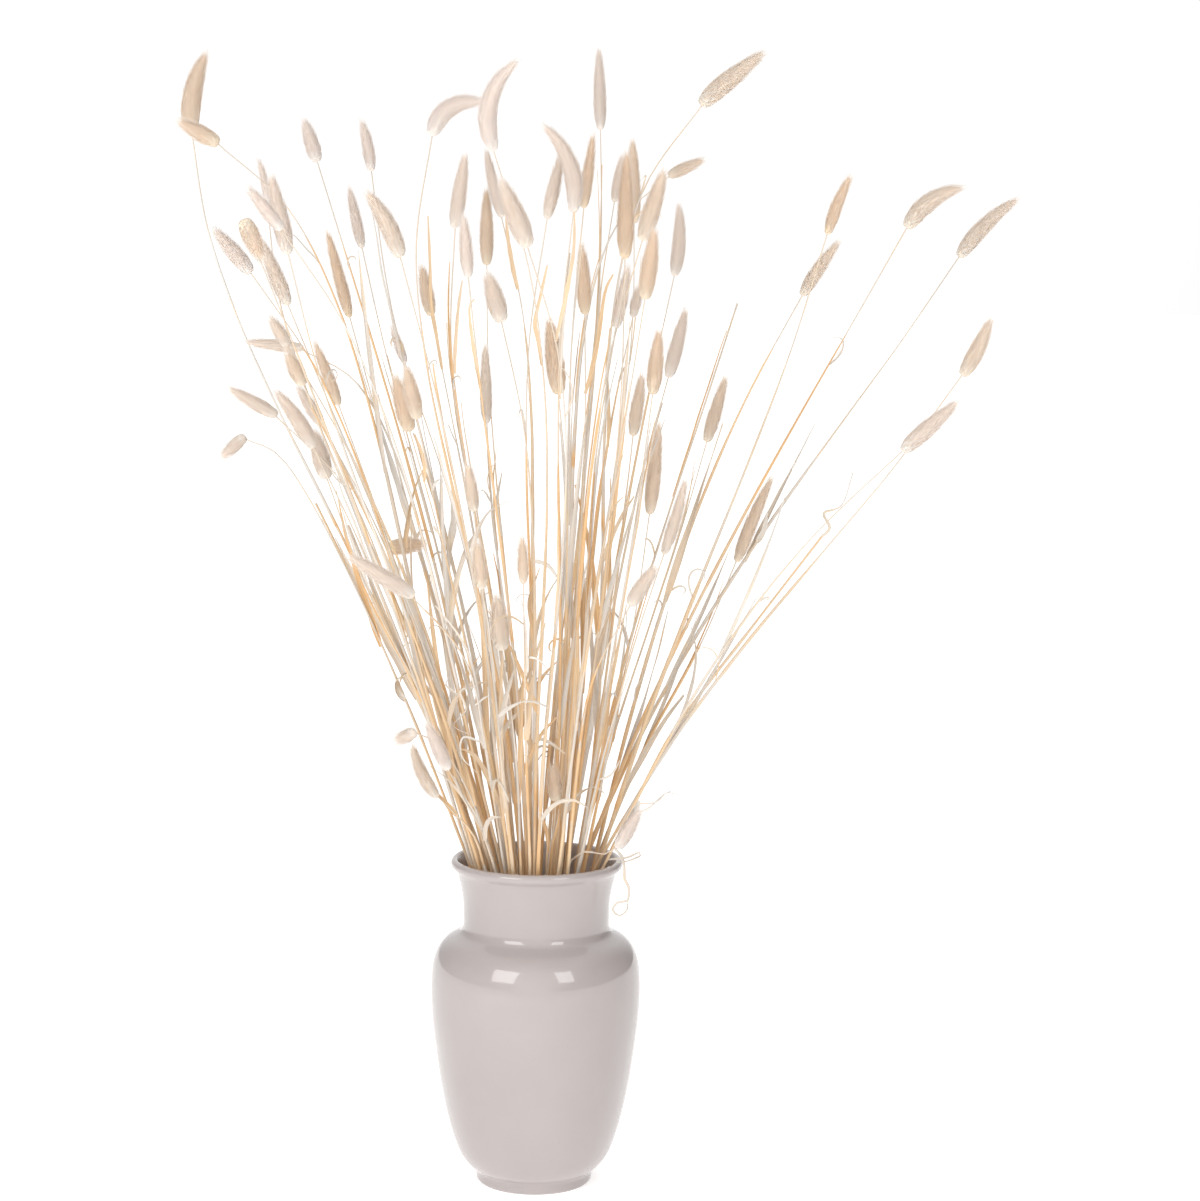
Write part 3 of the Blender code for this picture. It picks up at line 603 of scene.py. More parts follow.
def makeVase():
    inside = smoothLine(vaseLook["inside"], vaseLook["curveStep"] * 2)
    outside = smoothLine(vaseLook["outside"], vaseLook["curveStep"])
    outline = np.vstack([inside, outside, vaseLook["footRing"]])
    outline[0][0] = outline[-1][0] = 0.0
    mesh = bpy.data.meshes.new("outline")
    mesh.from_pydata([(r * mm, 0.0, z * mm) for r, z in outline], [(i, i + 1) for i in range(len(outline) - 1)], [])
    guide = bpy.data.objects.new("outline", mesh)
    bpy.context.scene.collection.objects.link(guide)
    turn = guide.modifiers.new("turned", "SCREW")
    turn.steps = turn.render_steps = vaseLook["sides"]
    turn.use_merge_vertices = True
    turn.merge_threshold = 0.00001
    graph = bpy.context.evaluated_depsgraph_get()
    made = bpy.data.meshes.new_from_object(guide.evaluated_get(graph))
    bpy.data.objects.remove(guide)
    cage = bmesh.new()
    cage.from_mesh(made)
    bmesh.ops.remove_doubles(cage, verts=cage.verts, dist=0.00001)
    bmesh.ops.recalc_face_normals(cage, faces=cage.faces)
    for face in cage.faces:
        middle = face.calc_center_median()
        face.smooth = True
        face.material_index = 1 if middle.z < 1.0 * mm else 0
    cage.to_mesh(made)
    cage.free()
    made.materials.clear()
    made.materials.append(makeGlaze())
    made.materials.append(makeBisque())
    vase = bpy.data.objects.new("glazed_vase", made)
    bpy.context.scene.collection.objects.link(vase)
    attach(vase, "root")
    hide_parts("vase")


makeVase()
report("vase turned")

# Straw: bleached, dried culms, sheaths and blades. Long fibres lie side by side in them, about 0.3 mm apart,
# drawn here a little coarser so that they show, and the sun-dried colour goes from cream to gold and tan.
def makeStraw():
    material = bpy.data.materials.new("bleached_dry_straw")
    material.use_nodes = True
    tree = material.node_tree
    shader = tree.nodes["Principled BSDF"]
    shader.inputs["IOR"].default_value = 1.45
    shader.inputs["Sheen Weight"].default_value = 0.1
    tint = addNode(tree, "ShaderNodeAttribute", {"attribute_name": "tint"})
    tone = addNode(tree, "ShaderNodeValToRGB", links={"Fac": tint.outputs["Fac"]})
    ramp = tone.color_ramp
    ramp.elements[0].color = linear("#dbd5cd")
    ramp.elements[1].color = linear("#d0a472")
    for position, colour in ((0.35, "#d2c6b8"), (0.65, "#dabf9d"), (0.85, "#dfb685")):
        ramp.elements.new(position).color = linear(colour)
    fibreMap = addNode(tree, "ShaderNodeUVMap", {"uv_map": "fibres"})
    stretched = addNode(
        tree, "ShaderNodeMapping", {"Scale": (1 / (0.9 * mm), 1 / (60.0 * mm), 1.0)},
        {"Vector": fibreMap.outputs["UV"]},
    )
    fibres = addNode(tree, "ShaderNodeTexNoise", {"Scale": 1.0, "Detail": 3.0}, {"Vector": stretched.outputs[0]})
    place = addNode(tree, "ShaderNodeTexCoord")
    blotch = addNode(tree, "ShaderNodeTexNoise", {"Scale": 32.0, "Detail": 2.0}, {"Vector": place.outputs["Object"]})
    yellow = addNode(
        tree, "ShaderNodeMapRange", {"From Min": 0.52, "From Max": 0.72, "To Max": 0.4}, {"Value": blotch.outputs["Fac"]},
    )
    golden = addNode(
        tree, "ShaderNodeMix", {"data_type": "RGBA", 7: linear("#eaca9a")},
        {0: yellow.outputs["Result"], 6: tone.outputs["Color"]},
    )
    streak = addNode(
        tree, "ShaderNodeMapRange", {"From Min": 0.3, "From Max": 0.7, "To Min": 0.82, "To Max": 1.1},
        {"Value": fibres.outputs["Fac"]},
    )
    colour = addNode(
        tree, "ShaderNodeVectorMath", {"operation": "SCALE"},
        {0: golden.outputs[2], "Scale": streak.outputs["Result"]},
    )
    tree.links.new(colour.outputs[0], shader.inputs["Base Color"])
    rough = addNode(
        tree, "ShaderNodeMapRange", {"To Min": 0.5, "To Max": 0.75}, {"Value": fibres.outputs["Fac"]},
    )
    tree.links.new(rough.outputs["Result"], shader.inputs["Roughness"])
    ribs = addNode(tree, "ShaderNodeBump", {"Strength": 0.5, "Distance": 0.00015}, {"Height": fibres.outputs["Fac"]})
    tree.links.new(ribs.outputs["Normal"], shader.inputs["Normal"])
    return material


# Seed head: a soft plume of silky hairs that light shines through, beige near the core and paler at their tips; the
# paler tips are partly their own colour and partly painted light, shining through the fringe
def makePlume():
    material = bpy.data.materials.new("silky_seed_head")
    material.use_nodes = True
    tree = material.node_tree
    shader = tree.nodes["Principled BSDF"]
    shader.inputs["Roughness"].default_value = 0.85
    shader.inputs["Specular IOR Level"].default_value = 0.2
    shader.inputs["Sheen Weight"].default_value = 0.15
    shader.inputs["Sheen Roughness"].default_value = 0.5
    shader.inputs["Subsurface Weight"].default_value = 0.5
    shader.inputs["Subsurface Radius"].default_value = (1.0, 0.85, 0.7)
    shader.inputs["Subsurface Scale"].default_value = 2.0 * mm
    tint = addNode(tree, "ShaderNodeAttribute", {"attribute_name": "tint"})
    tone = addNode(tree, "ShaderNodeValToRGB", links={"Fac": tint.outputs["Fac"]})
    ramp = tone.color_ramp
    ramp.elements[0].color = linear("#ecdfd5")
    ramp.elements[1].color = linear("#e8cfb2")
    ramp.elements.new(0.5).color = linear("#e9d9c7")
    # hair tips are painted paler: partly their own colour, partly painted light shining through the backlit fringe
    tip = addNode(tree, "ShaderNodeAttribute", {"attribute_name": "hairTip"})
    paler = addNode(
        tree, "ShaderNodeMapRange", {"From Min": 0.2, "From Max": 1.0, "To Max": 0.6}, {"Value": tip.outputs["Fac"]},
    )
    colour = addNode(
        tree, "ShaderNodeMix", {"data_type": "RGBA", 7: linear("#f4e9e2")},
        {0: paler.outputs["Result"], 6: tone.outputs["Color"]},
    )
    tree.links.new(colour.outputs[2], shader.inputs["Base Color"])
    return material


strawLook = {
    "culmStep": 9.0,
    "culmSides": 8,
    "slimming": (0.62, 0.95),  # no two culms are as thick
    "stalkTint": 0.4,
    "footShadeTint": 0.85,  # painted shade: browner and warmer low down, where the packed culms in the vase and its mouth shade one another
    "stalk": 0.4,  # the thin stalk under a head
    "bladeSteps": 16,
    "bladeThick": 0.26,
    "sleeves": ((0.02, 0.4), (0.36, 0.6), (0.57, 0.76)),
    "sleeveSteps": 12.0,
    "sleeveRoom": (0.1, 0.3),
    "tallShare": 0.65,  # how many culms have an uppermost sheath that reaches high
    "tallReach": (0.82, 0.92),
    "straps": (0, 4),  # dried blades that stand along each culm
    "bareBeyond": 165.0,  # shoots whose head is seen farther out than this have none
    "strapStart": (0.5, 0.84),
    "strapEnd": 0.96,
    "strapLength": (70.0, 200.0),
    "strapHalf": (0.5, 1.4),
    "strapAway": (0.3, 7.0),
    "curls": (0, 3),
}
headLook = {
    "rings": 18,
    "sides": 14,
    "core": 0.86,  # the core's share of the head's radius, under its hairs
    "hairsPerArea": 1.5e6,
    "hairLength": 0.0075,
    "hairWidth": 0.0001,
    "hairLift": 0.15,
    "hairStray": 0.08,
}


def framesAlong(points, first=None):  # two vectors across a line at each point, turning as little as they can
    along = np.gradient(points, axis=0)
    along /= np.linalg.norm(along, axis=1)[:, None]
    side = np.cross(along[0], first if first is not None else (0.0, 1.0, 0.0))
    if np.linalg.norm(side) < 0.1:
        side = np.cross(along[0], (1.0, 0.0, 0.0))
    sides = []
    for direction in along:
        side = side - direction * (side @ direction)
        side = side / np.linalg.norm(side)
        sides.append(side)
    sides = np.array(sides)
    return along, sides, np.cross(along, sides)


def newShape():
    return {"verts": [], "faces": [], "uvs": [], "tint": [], "pile": [], "growth": [], "material": [], "count": 0}


# Sweeps closed outlines along a line: outlines holds, for each point of the line, the places round it
def sweep(shape, points, outlines, tint, materialIndex=0, pile=0.0, first=None, twist=0.0):
    along, sides, fronts = framesAlong(points, first)
    turns = np.broadcast_to(twist, len(points))[:, None]
    across = sides * np.cos(turns) + fronts * np.sin(turns)
    upward = fronts * np.cos(turns) - sides * np.sin(turns)
    verts = points[:, None] + outlines[..., :1] * across[:, None] + outlines[..., 1:] * upward[:, None]
    rings, ringSize = outlines.shape[:2]
    lengths = np.concatenate([[0.0], np.cumsum(np.linalg.norm(np.diff(points, axis=0), axis=1))])
    closedRing = np.concatenate([outlines, outlines[:, :1]], axis=1)
    girths = np.concatenate(
        [np.zeros((rings, 1)), np.cumsum(np.linalg.norm(np.diff(closedRing, axis=1), axis=2), axis=1)], axis=1
    )
    base = shape["count"]
    tints = np.broadcast_to(tint, rings)
    shift = tints[-1] * 50.0  # so that no two pieces have the same fibres
    for i in range(rings - 1):
        for j in range(ringSize):
            k = (j + 1) % ringSize
            corners = ((i, j, j), (i, k, j + 1), (i + 1, k, j + 1), (i + 1, j, j))
            shape["faces"].append([base + ring * ringSize + place for ring, place, _ in corners])
            shape["uvs"].extend(((girths[ring][column] + shift) * mm, lengths[ring] * mm) for ring, _, column in corners)
            shape["material"].append(materialIndex)
    for ring, order in ((0, range(ringSize - 1, -1, -1)), (rings - 1, range(ringSize))):
        shape["faces"].append([base + ring * ringSize + j for j in order])
        shape["uvs"].extend((girths[ring][j] * mm, lengths[ring] * mm) for j in order)
        shape["material"].append(materialIndex)
    shape["verts"].append(verts.reshape(-1, 3))
    shape["tint"].append(np.repeat(tints, ringSize))
    shape["pile"].append(np.full(rings * ringSize, pile))
    shape["growth"].append(np.repeat(along, ringSize, axis=0))
    shape["count"] += rings * ringSize


def roundOutline(radii, sides):
    angles = np.arange(sides) * math.tau / sides
    circle = np.stack([np.cos(angles), np.sin(angles)], axis=1)
    return radii[:, None, None] * circle[None]


def lengthShare(points):
    steps = np.linalg.norm(np.diff(points, axis=0), axis=1)
    return np.concatenate([[0.0], np.cumsum(steps)]) / steps.sum()


# The outline of a thin blade: a shallow trough with a wall of even thickness
def bladeOutlines(halves, fold, thick):
    rows = []
    for half in halves:
        lift = fold * half
        rows.append((
            (-half, lift), (-half * 0.5, lift * 0.3), (0.0, 0.0), (half * 0.5, lift * 0.3), (half, lift),
            (half, lift + thick), (half * 0.5, lift * 0.3 + thick), (0.0, thick),
            (-half * 0.5, lift * 0.3 + thick), (-half, lift + thick),
        ))
    return np.array(rows)


def bladeHalves(share, half, torn, rng):
    body = np.interp(share, (0.0, 0.08, 0.35, 0.75, 1.0), (0.6, 0.85, 1.0, 0.75, 0.35 if torn else 0.08))
    waves = 1 + 0.1 * np.sin(share * rng.uniform(9, 30) + rng.uniform(0, 6))
    return half * body * waves


def keepInVase(points, room):  # nothing reaches the wall or lies on the lip
    walls = np.interp(points[:, 2], [z for _, z in vaseLook["solidInside"]], [r for r, _ in vaseLook["solidInside"]])
    out = np.hypot(points[:, 0], points[:, 1])
    most = np.where(points[:, 2] < vaseLook["height"] + 1.5, walls - room, np.inf)
    scale = np.minimum(1.0, most / np.maximum(out, 1e-6))
    kept = points.copy()
    kept[:, :2] *= scale[:, None]
    return kept


def addCulm(shape, shoot, rng):
    path = smoothLine(shoot["points"], strawLook["culmStep"])
    share = lengthShare(path)
    radii = np.interp(share, lengthShare(shoot["points"]), shoot["radii"]) * rng.uniform(*strawLook["slimming"])
    tint = rng.uniform(0.2, 0.75)
    headed = shoot["line"] is not None
    if headed:
        thin = np.interp(share, (0.74, 0.86), (radii.max(), strawLook["stalk"]))
        radii = np.minimum(radii, thin)
    topTint = strawLook["stalkTint"] if headed else tint
    # the lowest part of each culm is painted browner and warmer, as painted shade for the packed culms in the vase and
    # its mouth
    tints = np.interp(share, (0.3, 0.5, 0.65, 0.88), (strawLook["footShadeTint"], tint, tint, topTint))
    shoot["path"] = path
    shoot["share"] = share
    shoot["thick"] = radii
    sweep(shape, path, roundOutline(radii, strawLook["culmSides"]), tints)


def along(shoot, share):
    return np.stack([np.interp(share, shoot["share"], shoot["path"][:, axis]) for axis in range(3)], axis=-1)


# A leaf's sheath wraps the culm as a sleeve, a little wider, and thins out at its torn upper edge
def addSleeves(shape, shoot, rng):
    for number, (low, high) in enumerate(strawLook["sleeves"]):
        low = low + rng.uniform(0, 0.03)
        high = high + rng.uniform(-0.05, 0.04)
        isTall = number == len(strawLook["sleeves"]) - 1 and rng.random() < strawLook["tallShare"]
        if isTall and shoot["line"] is not None:
            high = rng.uniform(*strawLook["tallReach"])
        length = (high - low) * np.linalg.norm(np.diff(shoot["path"], axis=0), axis=1).sum()
        share = np.linspace(low, high, max(5, round(length / strawLook["sleeveSteps"])))
        path = along(shoot, share)
        wide = np.interp(share, shoot["share"], shoot["thick"]) + rng.uniform(*strawLook["sleeveRoom"])
        t = np.linspace(0.0, 1.0, len(share))
        wide = wide * (1 + 0.08 * np.sin(t * rng.uniform(8, 20) + rng.uniform(0, 6)))
        wide[0] *= 0.7
        wide[-1] *= 0.72
        squeeze = rng.uniform(0.72, 1.0)
        outlines = roundOutline(wide, strawLook["culmSides"]) * (1.0, squeeze)
        tint = rng.uniform(0.55 if number == 0 else 0.0, 0.95)
        tints = np.interp(t, (0.0, 0.06, 0.12, 1.0), (0.95, 0.95, tint, tint))  # darker at the joint
        sweep(shape, path, outlines, tints, twist=t * rng.uniform(-1.5, 1.5))
        shoot.setdefault("tops", []).append(high)
    shoot["tall"] = shoot["path"][-1][2]


# The blades of the solid model, thin and folded, through the same places
def addBlades(shape, shoot, rng):
    for each in shoot["blades"]:
        path = smoothLine(each["points"], 5.0)
        share = lengthShare(path)
        halves = bladeHalves(share, each["half"] * rng.uniform(0.95, 1.25), rng.random() < 0.4, rng)
        twist = share * each["twist"] * (blade["points"] - 1) * 1.6
        outlines = bladeOutlines(halves, rng.uniform(0.1, 0.5), strawLook["bladeThick"])
        sweep(shape, path, outlines, rng.uniform(0.0, 0.85), twist=twist)


# Long narrow blades that dried standing along the culm
def addStraps(shape, shoot, rng):
    if abs(shoot["base"][0]) > strawLook["bareBeyond"]:
        return
    length = np.linalg.norm(np.diff(shoot["path"], axis=0), axis=1).sum()
    for _ in range(rng.integers(*strawLook["straps"])):
        reach = rng.uniform(*strawLook["strapLength"])
        low = rng.uniform(*strawLook["strapStart"])
        high = min(low + reach / length, strawLook["strapEnd"])
        if (high - low) * length < 40:
            continue
        share = np.linspace(low, high, strawLook["bladeSteps"])
        path = along(shoot, share)
        _, sides, fronts = framesAlong(path)
        t = np.linspace(0.0, 1.0, len(share))
        bearing = rng.uniform(0, math.tau) + t * rng.uniform(-1.2, 1.2)
        away = np.interp(share, shoot["share"], shoot["thick"]) + 0.2
        away = away + rng.uniform(*strawLook["strapAway"]) * t ** rng.uniform(1.3, 2.6)
        away = away + 0.5 * np.sin(t * rng.uniform(6, 16)) * t
        path = path + away[:, None] * (sides * np.cos(bearing)[:, None] + fronts * np.sin(bearing)[:, None])
        half = rng.uniform(*strawLook["strapHalf"])
        path = keepInVase(path, half + 0.4)
        halves = bladeHalves(t, half, rng.random() < 0.5, rng)
        outlines = bladeOutlines(halves, rng.uniform(0.05, 0.6), strawLook["bladeThick"])
        sweep(shape, path, outlines, rng.uniform(0.0, 1.0), twist=bearing + t * rng.uniform(-1.5, 1.5))


# Tatters: thin strips that tore off a sheath's upper edge and curled as they dried
def addCurls(shape, shoot, rng):
    for _ in range(rng.integers(*strawLook["curls"])):
        share = rng.choice(shoot["tops"]) + rng.uniform(-0.06, 0.0)
        if share * shoot["tall"] < 250:
            continue
        start, heading = pointOn(shoot["path"], share)
        azimuth = rng.uniform(0, math.tau)
        side = unit(np.cross(heading, (math.cos(azimuth), math.sin(azimuth), 0.0)))
        heading = turned(heading, side, math.radians(rng.uniform(10, 50)))
        length, steps = rng.uniform(12, 40), 14
        turn = math.radians(rng.uniform(120, 420)) * rng.choice((-1, 1)) / steps
        points = [start]
        for step in range(steps):
            points.append(points[-1] + heading * length / steps)
            heading = unit(turned(heading, side, turn * 2 * step / steps) + side * rng.uniform(-0.02, 0.1))
        path = np.array(points)
        share = lengthShare(path)
        halves = bladeHalves(share, rng.uniform(0.35, 0.9), False, rng)
        sweep(shape, path, bladeOutlines(halves, 0.3, 0.18), rng.uniform(0.0, 0.7), twist=share * rng.uniform(-2, 2))


# A leaf that the photo shows by itself: the places that it passes through as seen from the front, half its
# width, its tint from pale to brown, how far it turns about itself and how far it comes forward on its way
def leaf(*seen, half=1.0, tint=0.3, twist=0.0, forward=4.0, reach=3.0):
    return {"seen": seen, "half": half, "tint": tint, "twist": twist, "forward": forward, "reach": reach}


leaves = [
    leaf((-56.6, 424.9), (-58.5, 446), (-59.2, 467), half=2.5, tint=0.05, twist=0.4),
    leaf((-23.2, 594), (-19.9, 609), (-23.2, 629), (-24.5, 643), half=1.6, tint=0.65, forward=2.0),
    leaf((-4.8, 546), (-3.4, 562), (-5.5, 574), (-1.5, 593), (2.5, 611), half=1.2, tint=0.65, forward=2.0),
    leaf((29.4, 527), (31.3, 543), (35.3, 562), (39.9, 593), (45.2, 605), half=1.5, tint=0.7, forward=2.0),
    leaf((9.7, 562), (10.3, 572), (15, 593), (19.5, 620), (20.2, 646), half=1.2, tint=0.6, forward=2.0),
    leaf((-65.9, 543), (-69.9, 567), (-73.1, 587), (-73.8, 613), (-75.1, 643), half=1.3, tint=0.65, forward=2.0),
    leaf((-53.4, 542), (-57.4, 556), (-55.4, 583), (-52.8, 601), half=1.2, tint=0.55, forward=2.0),
    leaf((-44.9, 530), (-46.2, 562), (-48.2, 583), (-44.9, 589), half=1.1, tint=0.6, forward=2.0),
    leaf((43.8, 493), (42.5, 512), (41.2, 541), (43.2, 570), half=1.3, tint=0.65, forward=2.0),
    leaf((-78.4, 471), (-77.7, 484), (-83.7, 501), half=1.3, tint=0.65, forward=2.0),
    leaf((-8.3, 365), (-7, 374), (-9.6, 392), (-7, 403), (-2.6, 414.5), half=1.9, tint=0.7, twist=1.5),
    leaf((-23.4, 434), (-28.5, 444), (-30.6, 456), (-27.3, 476), half=1.2, tint=0.2, twist=0.8),
    leaf((-4.6, 419), (3, 416), (9.8, 407), half=1.4, tint=0.15, twist=0.5),
    leaf((182, 434), (185.9, 440.5), (182, 450), (193.7, 455.4), (200.9, 476), half=1.1, tint=0.2, twist=2.4),
    leaf((139, 429.4), (143, 439), (145, 450), half=2.0, tint=0.15, twist=0.7),
    leaf((-84.5, 433.3), (-79, 439), (-70.9, 437.2), half=1.2, tint=0.3, twist=1.5),
    leaf((-88.4, 330), (-95, 334), (-96.2, 341), (-90, 345), half=2.2, tint=0.1, twist=1.8),
    leaf((-42, 338), (-54, 334), (-50, 322), (-58, 312), (-48, 306), half=0.8, tint=0.0, twist=3.0),
    leaf((-40, 300), (-52, 304), (-53, 292), (-43, 281), half=0.7, tint=0.0, twist=2.0),
    leaf((-56, 331), (-63.7, 338.4), (-60, 344), half=0.7, tint=0.1, twist=1.0),
    leaf((-45, 326), (-36.4, 331), (-33, 326), half=0.6, tint=0.0, twist=1.0),
    leaf((-14.3, 281), (-16, 289), (-11, 292.9), (-9, 287), half=0.5, tint=0.2, twist=1.0),
    leaf((-7.2, 305.3), (4, 301), (14.3, 293.6), half=1.2, tint=0.1, twist=0.6),
    leaf((-9.8, 356), (-3, 355), (2, 349), (4.6, 345), half=0.9, tint=0.1, twist=1.6),
    leaf((61.1, 324), (60, 336), (64, 343), (63.7, 349), half=0.5, tint=0.1, twist=1.0, reach=6.0),
    leaf((37.7, 277.3), (44, 280), (49.4, 289), half=0.7, tint=0.2, twist=0.8, reach=6.0),
    leaf((49, 236), (55, 248), (62.4, 263), half=3.0, tint=0.05, twist=0.5, forward=2.0, reach=8.0),
    leaf((62, 250), (68, 258), (78, 267), (87, 271), half=0.6, tint=0.1, twist=1.2, forward=1.0, reach=12.0),
    leaf((66, 259), (73, 262), (80, 268), (87.5, 267), half=0.5, tint=0.1, twist=0.8, forward=1.0, reach=14.0),
    leaf((45, 224), (54, 226), (62.4, 229.5), (63, 227), (55, 223.6), (47, 222.5), half=0.7, tint=0.3, forward=2.0),
]
overRim = {  # a thin shred that hangs over the lip and ends in an open loop
    "depth": -27.0,
    "half": 1.0,
    "tint": 0.25,
    "twist": 0.3,
    "reach": 8.0,
    "seen": (
        (48.0, 228.0), (51.0, 226.5), (52.6, 220.0), (52.8, 212.0), (55.4, 207.0), (54.6, 198.0),
        (48.6, 197.0), (45.0, 192.0), (49.5, 188.3), (54.4, 192.5), (54.6, 197.4), (57.6, 196.0), (58.2, 190.5),
    ),
}


# The culm that carries a leaf: the front-most one that passes its foot, or else the nearest
def carrierOf(place, reach):
    found = []
    for number, shoots in enumerate(placed):
        for shoot in shoots:
            path = densify(shoot["points"], shoot["radii"])[0]
            away = np.linalg.norm(seenAt(path) - np.array(place), axis=1)
            nearest = int(np.argmin(away))
            found.append((away[nearest] > reach, path[nearest][1] if away[nearest] <= reach else away[nearest],
                          number, path[nearest]))
    _, _, number, point = min(found, key=lambda each: each[:3])
    return number, point


def leafShapes():  # for each tuft, the middle line of its leaves and their looks
    shapes = [[] for _ in placed]
    for each in leaves:
        number, foot = carrierOf(each["seen"][0], each["reach"])
        depths = foot[1] - each["forward"] * np.linspace(0.0, 1.0, len(each["seen"])) ** 0.5
        points = np.array([fromFront(seen, depth) for seen, depth in zip(each["seen"], depths)])
        points[0] = foot
        shapes[number].append((points, each))
    number, foot = carrierOf(overRim["seen"][0], overRim["reach"])
    points = np.array([fromFront(seen, overRim["depth"]) for seen in overRim["seen"]])
    points[0] = foot
    shapes[number].append((points, overRim))
    return shapes


def addLeaves(shape, shapes, rng):
    for points, look in shapes:
        path = smoothLine(points, 2.5)
        share = lengthShare(path)
        halves = bladeHalves(share, look["half"], True, rng)
        outlines = bladeOutlines(halves, 0.3, min(strawLook["bladeThick"], 0.5 * look["half"]))
        sweep(shape, path, outlines, look["tint"], twist=share * look["twist"])


# The soft core of a seed head, lumpy where its spikelets lie under the hairs
def addHead(shape, shoot, rng):
    share = np.linspace(0.0, 1.0, headLook["rings"])
    share = 0.5 - 0.5 * np.cos(share * math.pi)
    t = share[:, None]
    a, b, c = (np.array(point) for point in shoot["line"])
    path = a * (1 - t) ** 2 + 2 * b * t * (1 - t) + c * t**2
    radii = np.maximum(headLook["core"] * headRadius(share, shoot["width"]), 0.25)
    outlines = roundOutline(radii, headLook["sides"])
    rows = np.arange(headLook["rings"])[:, None]
    columns = np.arange(headLook["sides"])[None]
    lumps = 1 + 0.05 * np.where((rows + columns) % 2 == 0, 1.0, -1.0) + rng.uniform(-0.03, 0.03, outlines.shape[:2])
    sweep(shape, path, outlines * lumps[..., None], rng.random(), materialIndex=1, pile=1.0)


def addFloats(mesh, name, values):
    attribute = mesh.attributes.new(name, "FLOAT", "POINT")
    attribute.data.foreach_set("value", np.concatenate(values).astype(np.float32))


def meshOf(shape, name, materials):
    mesh = bpy.data.meshes.new(name)
    mesh.from_pydata((np.vstack(shape["verts"]) * mm).tolist(), [], shape["faces"])
    for material in materials:
        mesh.materials.append(material)
    mesh.polygons.foreach_set("material_index", shape["material"])
    fibres = mesh.uv_layers.new(name="fibres")
    fibres.data.foreach_set("uv", np.array(shape["uvs"], np.float32).ravel())
    addFloats(mesh, "tint", shape["tint"])
    addFloats(mesh, "pile", shape["pile"])
    growth = mesh.attributes.new("growth", "FLOAT_VECTOR", "POINT")
    growth.data.foreach_set("vector", np.concatenate(shape["growth"]).astype(np.float32).ravel())
    mesh.shade_smooth()
    mesh.set_sharp_from_angle(angle=math.radians(50))
    mesh.update()
    return mesh


